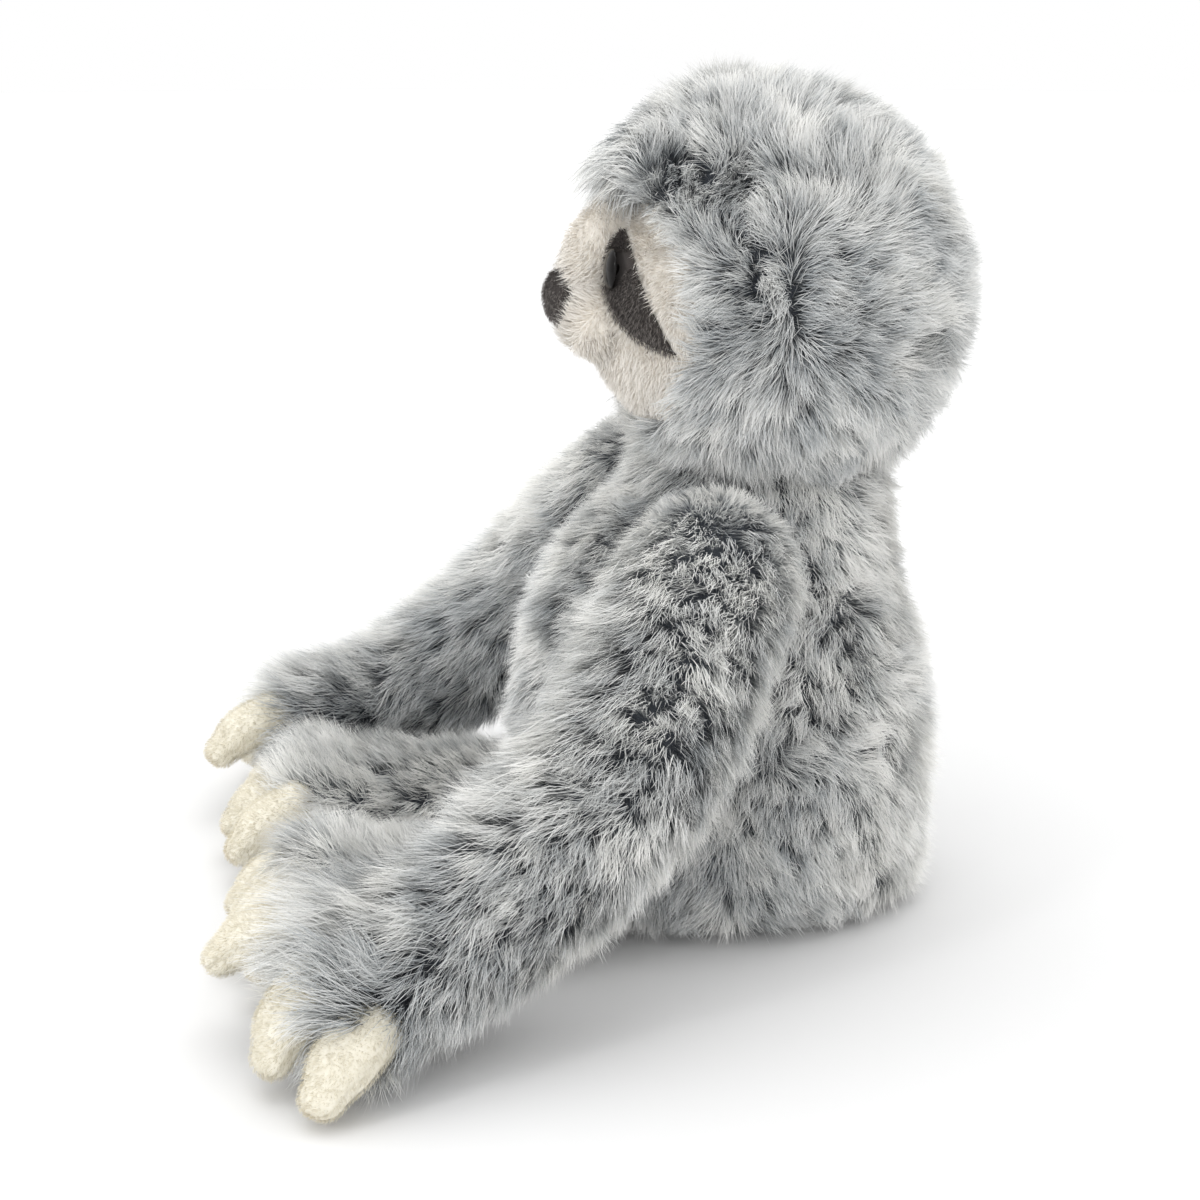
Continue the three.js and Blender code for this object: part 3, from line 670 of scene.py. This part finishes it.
def shoulder_radius(points):
    """How far each point is from the axis on which the left arm turns."""
    return np.linalg.norm(flattened(points - SHOULDER, SHOULDER_AXIS), axis=1)


def inside_torso(points, inset):
    heights, *columns = TORSO_RINGS.T
    width, depth, shift = (np.interp(points[:, 2], heights, column) for column in columns)
    oval = ((points[:, 0] / (width / 2 - inset)) ** 2
            + ((points[:, 1] - shift) / (depth / 2 - inset)) ** 2)
    return (oval < 1) & (points[:, 2] < TORSO_HEIGHT - inset)


def inside_head(points, inset):
    return (((points - HEAD_MIDDLE) / (HEAD_RADII - inset)) ** 2).sum(axis=1) < 1


def opening_share(points):
    """0 in the middle of the face opening, 1 at its edge."""
    return np.hypot(points[:, 0] / OPENING_RADII[0],
                    (points[:, 2] - OPENING_MIDDLE) / OPENING_RADII[1])


def face_front(across, height, growth=0.0):
    """How far forward (-Y) the face's surface is."""
    radii = FACE_RADII + growth
    room = 1 - (across / radii[0]) ** 2 - ((height - FACE_MIDDLE[2]) / radii[2]) ** 2
    return FACE_MIDDLE[1] - radii[1] * np.sqrt(np.maximum(room, 0.002))


def torso_shape(ball):
    """Flat where each arm sits, and hollow round each hip."""
    heights, widths, depths, shifts = TORSO_RINGS.T
    route = np.stack([np.zeros(len(heights)), shifts, heights], axis=1)
    form = Form(route, widths, depths, (1, 0, 0), 0, TORSO_DOME, facing=UP, shares=(0.045, 0.88))
    points, onward = form.surface(ball, FUR_DEPTH)
    for side in SIDES.values():
        local = points * (side, 1, 1)
        beyond = np.maximum(seat_distance(local) + SEAT_ROOM, 0) * (local[:, 2] > 60)
        local = local - SHOULDER_AXIS * beyond[:, None]
        from_hip = local - HIP
        hole = HIP_HOLLOW ** 2 - from_hip[:, 0] ** 2 - from_hip[:, 2] ** 2
        back = np.sqrt(np.maximum(hole, 0))
        dented = (hole > 0) & (from_hip[:, 1] < back)
        local[:, 1] = np.where(dented, HIP[1] + back, local[:, 1])
        points = local * (side, 1, 1)
    return points, onward


def head_shape(ball):
    """Full at the brow, hollow over the neck, and sunk behind the face."""
    toward_brow = ball @ (0, -0.72, 0.69)
    fuller = BROW_FULLNESS * rise(toward_brow, 0.72, 0.2)
    points = HEAD_MIDDLE + ball * (HEAD_RADII - HEAD_FUR_DEPTH + fuller[:, None])
    reach = np.hypot(points[:, 0], points[:, 1] - NECK[1])
    roof = NECK[2] + np.sqrt(np.maximum(NECK_CUP ** 2 - reach ** 2, 0))
    under = (reach < NECK_CUP) & (points[:, 2] < roof)
    points[:, 2] = np.where(under, roof, points[:, 2])
    behind = face_front(points[:, 0], points[:, 2]) + 4.5
    in_face = (opening_share(points) < 1) & (points[:, 1] < FACE_MIDDLE[1])
    points[:, 1] = np.where(in_face, behind, points[:, 1])
    return points, DOWN


def arm_shape(ball):
    """Cut flat where it sits on the shoulder."""
    form = Form(ARM_ROUTE, ARM_WIDTHS, ARM_HEIGHTS, turned((1, 0, 0), FORWARD, -HAND_ROLL),
                ARM_ROOT - FUR_DEPTH, HAND_TIP - FUR_DEPTH * 0.8)
    points, onward = form.surface(ball, FUR_DEPTH)
    short = np.minimum(seat_distance(points) - SEAT_ROOM, 0) * (points[:, 1] > -70)
    return points - SHOULDER_AXIS * short[:, None], onward


def leg_shape(ball):
    form = Form(LEG_ROUTE, LEG_WIDTHS, LEG_HEIGHTS, (1, 0, 0),
                LEG_ROOT - FUR_DEPTH, FOOT_TIP - FUR_DEPTH * 0.6)
    return form.surface(ball, FUR_DEPTH)


# ---- how the fur lies

def torso_lay(points, normals, onward):
    under = np.clip(-normals[:, 2:] * 1.5 - 0.6, 0, 1)
    return DOWN * (1 - under) + unit(points * (1, 1, 0)) * under


def head_lay(points, normals, onward):
    """Away from an upright parting at each ear, and fore and aft along the crown."""
    across, back, low, high = EAR_PARTING
    total = np.zeros_like(points)
    for side in SIDES.values():
        away = points - (side * across, back, 0)
        away[:, 2] -= np.clip(points[:, 2], low, high)
        distance = np.linalg.norm(away, axis=1, keepdims=True)
        total += away / np.maximum(distance, 4) ** 3 * 40 ** 2
    along = flattened(total, normals)
    along /= np.maximum(np.linalg.norm(along, axis=1, keepdims=True), 0.8)
    fore_aft = FORWARD * -np.tanh((points[:, 1:2] - 8) / 18) + 0.3 * DOWN
    near_crown = np.exp(-(points[:, :1] / 24) ** 2)
    lay = along * (1 - 0.8 * near_crown) + fore_aft * near_crown
    brow = brow_share(points)[:, None]
    lay = lay * (1 - 0.6 * brow) + brow * (0, -1.6, -0.9)
    brushed = hood_edge(points)[:, None]
    outward = unit((points - (0, 0, OPENING_MIDDLE)) * (1, 0, 1)) + (0, 0.5, -0.25)
    return lay * (1 - 0.9 * brushed) + 1.5 * outward * brushed


def above_nose(points):
    """1 in the middle of the head's front, where the fringe is, 0 elsewhere."""
    return fall(np.abs(points[:, 0]), FRINGE_WIDTH, 14) * (points[:, 1] < 0)


def brow_share(points):
    """1 where the pile is brushed forward into the fringe, 0 elsewhere."""
    return fall(opening_share(points), 1.45, 0.4) * (points[:, 2] > 236) * above_nose(points)


def brow_edge(points):
    """1 where the fringe hangs over the edge of the face opening, 0 elsewhere."""
    near = fall(opening_share(points), 1.30, 0.2)
    return near * rise(points[:, 2], 228, 14) * above_nose(points)


def hood_edge(points):
    """1 where the pile is brushed back from the face opening's upper edge, 0 elsewhere."""
    share = opening_share(points)
    near = fall(share, 1.45, 0.3) * (0.3 + 0.7 * rise(share, 1.06, 0.12))
    upper = rise(points[:, 2], OPENING_MIDDLE, 36)
    return near * upper * (points[:, 1] < 2) * (1 - brow_share(points))


def limb_lay(points, normals, onward):
    return onward + 0.15 * DOWN


# ---- where the fur grows

def keep_torso(points, normals):
    resting = (normals[:, 2] < -0.8) & (points[:, 2] < 16)
    thinned = patchy(points, 0.9, SEED + 9) > 0
    covered = inside_head(points, 11) | (resting & thinned)
    for side in SIDES.values():
        local = points * (side, 1, 1)
        covered |= (shoulder_radius(local) < HIDDEN_SHOULDER) & (seat_distance(local) > -3)
        covered |= np.linalg.norm(local - HIP, axis=1) < HIDDEN_HIP
    return ~covered


def keep_head(points, normals):
    in_face = (opening_share(points) < 1.02) & (points[:, 1] < 6)
    in_neck = np.linalg.norm(points - NECK, axis=1) < NECK_CUP + 1.5
    return ~(in_face | in_neck)


def keep_arm(points, normals):
    return (shoulder_radius(points) > HIDDEN_SHOULDER) | (seat_distance(points) > SEAT_ROOM + 1)


def keep_leg(points, normals):
    return ~inside_torso(points, 5) & (np.linalg.norm(points - HIP, axis=1) > 13)


# ---- how long and how light

def pressed_short(points, normals):
    """Shorter pile where the toy rests on the floor."""
    resting = (normals[:, 2] < -0.55) & (points[:, 2] < 14)
    return np.where(resting, 0.6, 1.0)


def head_lengths(points, normals):
    return (1.12 + 0.45 * brow_share(points) + 0.6 * brow_edge(points)
            - 0.5 * hood_edge(points))


def end_share(points, route):
    """Rises to 1 towards the end of a limb, where the pile lies over the roots of its claws."""
    onward = unit(route[-1] - route[-2])
    return rise((points - route[-1]) @ onward, -20, 22)


def arm_lengths(points, normals):
    over_forearm = np.clip(normals[:, 2], 0, 1) * fall(points[:, 1], -40, 30)
    shoulder_top = rise(points[:, 2], 132, 22)
    upper_front = np.clip(-normals[:, 1], 0, 1) * rise(points[:, 2], 55, 20)
    hand_side = np.clip(normals[:, 0], 0, 1) * fall(points[:, 1], -95, 25)
    return pressed_short(points, normals) * (
        1 + 0.65 * over_forearm + 0.45 * end_share(points, ARM_ROUTE) - 0.4 * shoulder_top
        + 0.3 * upper_front * (1 - shoulder_top) + 0.25 * hand_side)


def leg_lengths(points, normals):
    return pressed_short(points, normals) * (1 + 0.5 * end_share(points, LEG_ROUTE))


def torso_tint(points, normals):
    """Darker in front than over the back, with painted shade on the sides beside the arms, where
    the arms shade the torso.
    """
    shade_beside_arm = normals[:, 0] ** 2 * fall(np.abs(points[:, 1] + 15), 70, 40)
    # Painted shade: the torso's sides are darkened beside the arms, where the arms shade them.
    return 0.18 + 0.16 * np.clip(points[:, 1] / 40, -1, 1) - 0.16 * shade_beside_arm


def head_tint(points, normals):
    """Darker round the ears than over the crown and the nape, as painted shade of the light from
    above, with a painted shadow of the hood at the jaw; the patches are tone.
    """
    from_jaw = (np.abs(points) - (52, 14, 198)) / (30, 15, 16)
    jaw_shadow = np.exp(-(from_jaw ** 2).sum(axis=1)) * (points[:, 1] < 2)
    # Painted shade on the sides and a painted shadow at the jaw; the patchy term is tone.
    return (0.10 - 0.34 * normals[:, 0] ** 2 - 0.25 * jaw_shadow
            + 0.20 * patchy(points, 8, SEED + 8))


def arm_tint(points, normals):
    """Dark along the outer side, where the fur parts, with painted light along the rims and
    painted shade on the inner side.
    """
    lit_rim = np.clip(1.15 - 1.6 * np.abs(normals[:, 0]), 0, 1)
    forearm = fall(points[:, 1], -50, 50)
    # Painted light along the rims; the last term is painted shade on the inner side.
    return (0.06 + 0.42 * lit_rim - forearm * (0.22 - 0.25 * patchy(points, 8, SEED + 8))
            - 0.40 * fall(normals[:, 0], -0.1, 0.5))


def leg_tint(points, normals):
    # Painted light: the legs are made lighter to make up for the shade that the arm and torso cast
    # on them.
    return np.full(len(points), 0.30)


# ---- claws

Limb = namedtuple("Limb", "body end turn roll claws inset width tip_length")
LIMBS = {
    "hand": Limb("arm", ARM_ROUTE[-1], 25, HAND_ROLL, HAND_CLAWS, 2, ARM_WIDTHS[-1], HAND_TIP),
    "foot": Limb("leg", LEG_ROUTE[-1], 6, 0, FOOT_CLAWS, 0, LEG_WIDTHS[-1], FOOT_TIP),
}


def claw_frames(limb):
    """Each claw's name, where it starts, and the way it points."""
    onward = turned(FORWARD, UP, math.radians(limb.turn))
    across = turned(np.cross(UP, onward), onward, -limb.roll)
    for name, (place, turn, droop) in limb.claws.items():
        level = turned(FORWARD, UP, math.radians(turn))
        direction = turned(level, np.cross(level, UP), -math.radians(droop))
        reach = limb.tip_length * math.sqrt(1 - (place / (limb.width / 2)) ** 2) - limb.inset
        yield name, limb.end + across * place + onward * reach, direction


def claw_axes(direction):
    """The ways in which a claw is wide and thick."""
    across = unit(np.cross(direction, UP))
    return across, np.cross(across, direction)


def claw_skin(base, direction, side):
    """A claw that tapers and curls down, with a seam along each side."""
    across, high = claw_axes(direction)
    route = np.array([base - direction * CLAW_ROOT, base + direction * CLAW_LENGTH * 0.3,
                      base + direction * CLAW_REACH - high * CLAW_CURL])
    taper = np.array([1, 1, 1 - CLAW_TAPER])
    form = Form(route, CLAW_WIDTH * taper, CLAW_THICKNESS * taper, across,
                6, 6.6 - CLAW_PILE_DEPTH)

    def shape(ball):
        points, onward = form.surface(ball, CLAW_PILE_DEPTH)
        along, around = ball_places(ball)
        seam = np.exp(-(np.sin(around) / 0.16) ** 2) * (np.abs(np.cos(around)) > 0.5)
        inward = unit(centreline(route, along) - points)
        return points + inward * (CLAW_SEAM_DEPTH * seam)[:, None], onward

    return Skin(shape, 32, 28, side)


def clear_of_claws(limb):
    """A test for strands that don't run through the limb's claws."""
    claws = [(base, direction, *claw_axes(direction)) for _, base, direction in claw_frames(limb)]

    def clear(lines):
        free = np.ones(len(lines), bool)
        middles = (lines[:, :-1] + lines[:, 1:]) / 2
        places = np.concatenate([lines[:, 1:], middles], axis=1)
        for base, direction, across, high in claws:
            offset = places - base
            reach = offset @ direction
            taper = 1 - CLAW_TAPER * rise(reach, 0, CLAW_REACH)
            oval = ((offset @ across) / (CLAW_WIDTH / 2 * taper)) ** 2 + (
                (offset @ high) / (CLAW_THICKNESS / 2 * taper)) ** 2
            inside = (oval < 0.9) & (reach > -CLAW_ROOT) & (reach < CLAW_LENGTH)
            free &= ~inside.any(axis=1)
        return free

    return clear


def worn_tip(base, direction):
    """Shades of a claw's strands: pale, and browner in patches at the tip."""
    def shades_of(points, shades):
        reach = (points - base) @ direction / CLAW_LENGTH
        wear = rise(reach, 0.86, 0.2) * np.clip(0.2 + patchy(points, 6, SEED + 5), 0, 1)
        return 0.88 + 0.16 * (shades - 0.5) - 0.7 * wear
    return shades_of


# ---- finished pieces

def above_floor(lines):
    lines[..., 2] = np.maximum(lines[..., 2], FLOOR_CLEARANCE)
    return lines


def assign(piece, body, slot, *nodes):
    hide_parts(*nodes)
    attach(piece, body)


def add_pad(skin, name, cloth, body, *nodes):
    """The stuffed backing of one or more panels."""
    piece = skin.piece(name, cloth.backing)
    assign(piece, body, cloth.slot, *nodes)


def add_fur(skin, pad_name, panels, body, seed, lay, keep, lengthen, tint,
            density=FUR_DENSITY, panel_of=None, spare=None, settle=None, hang=None):
    """One body's backing and its fur, which is handed out to the panels."""
    add_pad(skin, pad_name, FUR, body, *panels.values())
    lines, sideways, shades = long_pile(skin, lay, seed, density, keep, lengthen, tint, hang)
    if spare:
        clear = spare(lines)
        lines, sideways, shades = lines[clear], sideways[clear], shades[clear]
    if settle:
        lines = settle(lines)
    lines = above_floor(lines)
    panel = panel_of(lines[:, 0]) if panel_of else np.zeros(len(lines), int)
    for k, (name, node) in enumerate(panels.items()):
        mine = panel == k
        piece = strand_piece(name, lines[mine], sideways[mine], FUR_WIDTHS, shades[mine],
                             FUR.pile, skin.side)
        assign(piece, body, FUR.slot, node)


def add_pile(skin, name, cloth, body, node, seed, density, length, lay, width, keep=None,
             shades_of=None):
    """Short pile over one solid."""
    lines, sideways, shades = short_pile(skin, seed, density, length, lay, keep)
    if shades_of:
        shades = shades_of(lines[:, 0], shades)
    piece = strand_piece(name, above_floor(lines), sideways, width * SHORT_PILE_TAPER, shades,
                         cloth.pile, skin.side)
    assign(piece, body, cloth.slot, node)


def add_plush(skin, cloth, body, node, *numbers, **more):
    """A padded piece with its short pile."""
    add_pad(skin, f"{node}_pad", cloth, body, node)
    add_pile(skin, f"{node}_pile", cloth, body, node, *numbers, **more)


set_camera()
set_stage()

FUR = Cloth(
    "fur_grey",
    strand_finish("frosted_fur",
                  [(0.0, (54, 57, 60)), (0.38, (88, 93, 97)), (0.66, (168, 173, 176)),
                   (1.0, (244, 245, 244))],
                  [(0.0, (128, 133, 136)), (0.26, (198, 201, 202)), (0.50, (246, 246, 243)),
                   (1.0, (255, 254, 251))], 0.8),
    cloth_finish("fur_backing", (46, 50, 56), (74, 79, 86), 400))
CREAM = short_cloth("cream", (222, 214, 202), (246, 242, 235), (236, 230, 221), (254, 252, 248),
                    (236, 230, 220), (246, 242, 235), 500)
DARK = short_cloth("dark", (50, 46, 44), (92, 86, 83), (78, 72, 69), (156, 150, 145),
                   (52, 48, 46), (72, 67, 65), 500)
CLAW = short_cloth("claw", (190, 176, 150), (206, 190, 160), (224, 219, 203), (240, 236, 222),
                   (230, 225, 209), (242, 238, 225), 400)


# ---- torso

def torso_panel(points):
    back = np.where(points[:, 0] > 0, 1, 2)
    upper = np.where(points[:, 1] < SIDE_SEAM_SETBACK, 0, back)
    return np.where(points[:, 2] < SEAT_SEAM_HEIGHT, 3, upper)


def eased(overlap):
    """What is left of an overlap when the pile may reach a little way past a seat."""
    give = SEAT_OVERLAP + SEAT_PRESS
    return overlap - give * (1 - np.exp(-overlap / give))


def settle_beside_arms(lines):
    for side in SIDES.values():
        local = lines * (side, 1, 1)
        beyond = eased(np.maximum(seat_distance(local) + SEAT_PRESS, 0))
        lines = (local - beyond[..., None] * SHOULDER_AXIS) * (side, 1, 1)
    return lines


torso_skin = Skin(torso_shape, 72, 64)
torso_skin.swell(1.5, 34, SEED)
add_fur(torso_skin, "torso_pad",
        {"belly_fur": "belly_panel", "back_fur_left": "back_panel_left",
         "back_fur_right": "back_panel_right", "seat_fur": "seat_panel"},
        "torso", SEED + 10, torso_lay, keep_torso, pressed_short, torso_tint,
        density=TORSO_FUR_DENSITY, panel_of=torso_panel, settle=settle_beside_arms)


# ---- head

def head_panel(points):
    strip = (np.abs(points[:, 0]) < GUSSET_WIDTH / 2) & (
        (points[:, 2] > HEAD_MIDDLE[2]) | (points[:, 1] > HEAD_MIDDLE[1]))
    return np.where(strip, 2, np.where(points[:, 0] > 0, 0, 1))


add_fur(Skin(head_shape, 96, 72), "head_pad",
        {"head_fur_left": "head_panel_left", "head_fur_right": "head_panel_right",
         "head_fur_crown": "head_gusset"},
        "head", SEED + 20, head_lay, keep_head, head_lengths, head_tint,
        panel_of=head_panel, hang=brow_edge)


# ---- arms and legs

def settle_on_seat(lines):
    short = eased(np.maximum(SEAT_PRESS - seat_distance(lines), 0)) * (lines[..., 1] > -78)
    return lines + short[..., None] * SHOULDER_AXIS


def add_limb_fur(skin, part, side_name, seed, end, *rules, **more):
    pad, fur, node, body = (f"{part}{kind}_{side_name}" for kind in ("_pad", "_fur", "_skin", ""))
    add_fur(skin, pad, {fur: node}, body, seed, limb_lay, *rules,
            spare=clear_of_claws(LIMBS[end]), **more)


for side_name, side in SIDES.items():
    arm_skin = Skin(arm_shape, 48, 64, side)
    arm_skin.swell(1.2, 28, SEED + side)
    add_limb_fur(arm_skin, "arm", side_name, SEED + 30 + side, "hand", keep_arm, arm_lengths,
                 arm_tint, density=ARM_FUR_DENSITY, settle=settle_on_seat)
    add_limb_fur(Skin(leg_shape, 48, 48, side), "leg", side_name, SEED + 40 + side, "foot",
                 keep_leg, leg_lengths, leg_tint)


# ---- face

def face_shape(ball):
    """A thin cup that fills the opening."""
    across = ball[:, 0] * (OPENING_RADII[0] - 0.5)
    height = OPENING_MIDDLE + ball[:, 2] * (OPENING_RADII[1] - 0.5)
    front = face_front(across, height, -SHORT_PILE_DEPTH)
    depth = np.where(ball[:, 1] < 0.01, front, front + 3)
    return np.stack([across, depth, height], axis=1), DOWN


def muzzle_shape(ball):
    """The muzzle and the bridge above it, blended from a point inside both."""
    heart = np.array([0, -40, 214.0])
    blend = 1.5
    total = np.zeros(len(ball))
    for middle, radii in ((MUZZLE_MIDDLE, MUZZLE_RADII), (BRIDGE_MIDDLE, BRIDGE_RADII)):
        radii = radii - SHORT_PILE_DEPTH
        start, step = (heart - middle) / radii, ball / radii
        square, cross = (step ** 2).sum(axis=1), step @ start
        reach = (np.sqrt(cross ** 2 + square * (1 - start @ start)) - cross) / square
        total += np.exp(reach / blend)
    points = heart + ball * (blend * np.log(total) - 0.5)[:, None]
    points[:, 1] = np.minimum(points[:, 1], face_front(points[:, 0], points[:, 2]) + 1.5)
    under_brow = np.maximum(points[:, 2] - 235, 0)
    points[:, 1] = np.maximum(points[:, 1], -54.5 + under_brow)
    return points, DOWN


def beside_nose(points):
    """1 on the muzzle close round the nose, 0 elsewhere."""
    away = np.linalg.norm((NOSE_MIDDLE - points) * (1, 0, 1) / NOSE_RADII, axis=1)
    return fall(away, 1.9, 0.6)


def muzzle_lengths(points):
    return 4.0 + 3.6 * beside_nose(points)


def muzzle_lay(points):
    """Down and back, but over the edge of the nose where that is near."""
    toward = (NOSE_MIDDLE - points) * (1, 0, 1)
    near = beside_nose(points)[:, None]
    return (1 - near) * (0, 0.4, -1.0) + (unit(toward) + (0, -0.8, 0)) * 1.6 * near


def nose_shape(ball):
    """An oval that sits on the muzzle."""
    points = NOSE_MIDDLE + ball * (NOSE_RADII - 0.8)
    room = 1 - (points[:, 0] / MUZZLE_RADII[0]) ** 2 - (
        (points[:, 2] - MUZZLE_MIDDLE[2]) / MUZZLE_RADII[2]) ** 2
    seat = MUZZLE_MIDDLE[1] - MUZZLE_RADII[1] * np.sqrt(np.maximum(room, 0)) - 0.8
    points[:, 1] = np.minimum(points[:, 1], seat)
    return points, DOWN


def leaf_outline(share):
    """Half the width of an eye patch, for places along it from -1 to 1."""
    turn = np.linspace(0, 1, 60)
    rest = 1 - turn
    run = (-rest ** 3 - 0.55 * 3 * rest ** 2 * turn + 0.45 * 3 * rest * turn ** 2
           + turn ** 3)
    swell = 3 * 0.62 * PATCH_WIDTH * rest * turn
    return np.interp(share, run, swell)


def patch_shape(ball):
    """A leaf on the face, its outer end down."""
    fullness = np.sqrt(np.maximum(1 - ball[:, 0] ** 2, 1e-6))
    long = ball[:, 0] * (PATCH_LENGTH / 2 - 0.8)
    high = ball[:, 2] / fullness * np.maximum(leaf_outline(ball[:, 0]) - 0.6, 0.1)
    across = PATCH_PLACE[0] + long * math.cos(PATCH_TILT) + high * math.sin(PATCH_TILT)
    height = PATCH_PLACE[1] - long * math.sin(PATCH_TILT) + high * math.cos(PATCH_TILT)
    edge = np.sqrt(np.maximum(1 - ball[:, 0] ** 2 - ball[:, 2] ** 2, 0))
    lift = 0.4 + (PATCH_THICKNESS - 1.0) * np.minimum(edge * 2.2, 1)
    face = face_front(across, height)
    depth = np.where(ball[:, 1] < 0.01, face - lift, face + 0.6)
    return np.stack([across, depth, height], axis=1), DOWN


def patch_places(points, side):
    """Places along and across a patch, as shares of its half length and its outline there."""
    across = points[:, 0] * side - PATCH_PLACE[0]
    height = points[:, 2] - PATCH_PLACE[1]
    long = across * math.cos(PATCH_TILT) - height * math.sin(PATCH_TILT)
    high = across * math.sin(PATCH_TILT) + height * math.cos(PATCH_TILT)
    share = long / (PATCH_LENGTH / 2)
    return share, high / np.maximum(leaf_outline(share), 0.3)


def on_front(points, normals):
    return normals[:, 1] < 0.1


def beside_eye(points, normals):
    from_eye = np.hypot(points[:, 0] - EYE_PLACE[0], points[:, 2] - EYE_PLACE[1])
    return on_front(points, normals) & (from_eye > EYE_RADIUS - 1)


def beside_patches(points, normals):
    free = on_front(points, normals)
    for side in SIDES.values():
        along, across = patch_places(points, side)
        free &= (np.abs(along) > 0.97) | (np.abs(across) > 0.92)
    return free


face_skin = Skin(face_shape, 64, 48)
assign(face_skin.piece("face_cup", CREAM.backing), "head", CREAM.slot, "face_panel")
add_pile(face_skin, "face_pile", CREAM, "head", "face_panel", SEED + 50,
         density=2.6, length=5.0, lay=(0, -0.2, -1), width=0.36, keep=beside_patches)
add_plush(Skin(muzzle_shape, 56, 44), CREAM, "head", "muzzle", SEED + 51,
          density=2.8, length=muzzle_lengths, lay=muzzle_lay, width=0.36, keep=on_front)
add_plush(Skin(nose_shape, 32, 24), DARK, "head", "nose", SEED + 52,
          density=3.4, length=2.2, lay=(0, 0.4, -1), width=0.30, keep=on_front)
for side_name, side in SIDES.items():
    patch_skin = Skin(patch_shape, 40, 32, side)
    node = f"eye_patch_{side_name}"
    assign(patch_skin.piece(f"eye_patch_cloth_{side_name}", DARK.backing), "head", DARK.slot, node)
    add_pile(patch_skin, f"eye_patch_pile_{side_name}", DARK, "head", node, SEED + 54 + side,
             density=4.0, length=3.0, lay=(0.5, 0, -1), width=0.32, keep=beside_eye)


# ---- eyes

def eye_frame(side):
    """Where an eye sits on its patch, turned a little toward the front and the middle."""
    growth = PATCH_THICKNESS + 0.6
    across, height = EYE_PLACE
    seat = Vector((side * across, float(face_front(across, height, growth)), height))
    radii = FACE_RADII + growth
    outward = Vector((seat.x / radii[0] ** 2, seat.y / radii[1] ** 2,
                      (seat.z - FACE_MIDDLE[2]) / radii[2] ** 2)).normalized()
    outward = (outward + Vector((-0.25 * side, -3.0, 0))).normalized()
    return (Matrix.Scale(MM, 4) @ Matrix.Translation(seat - outward * 0.6)
            @ outward.to_track_quat("Z", "Y").to_matrix().to_4x4())


eye_finish = Finish("glossy_eye", 0.08)
eye_finish.set("Specular IOR Level", 0.16)
eye_finish.set("Base Color", eye_finish.mix(eye_finish.noise(300), colour(10, 9, 9),
                                            colour(20, 17, 16)))
dome = [(EYE_RADIUS * math.cos(a), EYE_CROWN * math.sin(a))
        for a in np.linspace(0, math.pi / 2, 14)]
eye_profile = [(0, -STEM_DEPTH), (STEM_RADIUS, -STEM_DEPTH), (STEM_RADIUS, 0),
               (EYE_RADIUS - 0.4, 0)] + dome
for side_name, side in SIDES.items():
    bm = revolved(eye_profile, 40)
    bmesh.ops.transform(bm, matrix=eye_frame(side), verts=bm.verts)
    face_outward(bm)
    eye = add_solid(f"eye_dome_{side_name}", bm, eye_finish.material)
    assign(eye, "head", "eye_plastic", f"eye_{side_name}")


# ---- claws and what is inside

for side_name, side in SIDES.items():
    for limb_name, limb in LIMBS.items():
        for k, (place, base, direction) in enumerate(claw_frames(limb)):
            add_plush(claw_skin(base, direction, side), CLAW, f"{limb.body}_{side_name}",
                      f"{limb_name}_claw_{side_name}_{place}", SEED + 60 + k,
                      density=2.6, length=2.3, lay=direction, width=0.27,
                      shades_of=worn_tip(base, direction))

# Fillings, washers and the pellet bag keep the shapes of their solids
inner = {
    "filling": cloth_finish("fibre_filling", (228, 228, 222), (246, 246, 242), 60, 1.0),
    "washer": cloth_finish("washer_plastic", (206, 206, 202), (222, 222, 218), 200, 0.5, 0.1),
    "pellet_bag": cloth_finish("bag_cloth", (188, 182, 170), (206, 200, 188), 900),
}
for name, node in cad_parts.items():
    for word, finish in inner.items():
        if word in name:
            node.data.materials.clear()
            node.data.materials.append(finish)
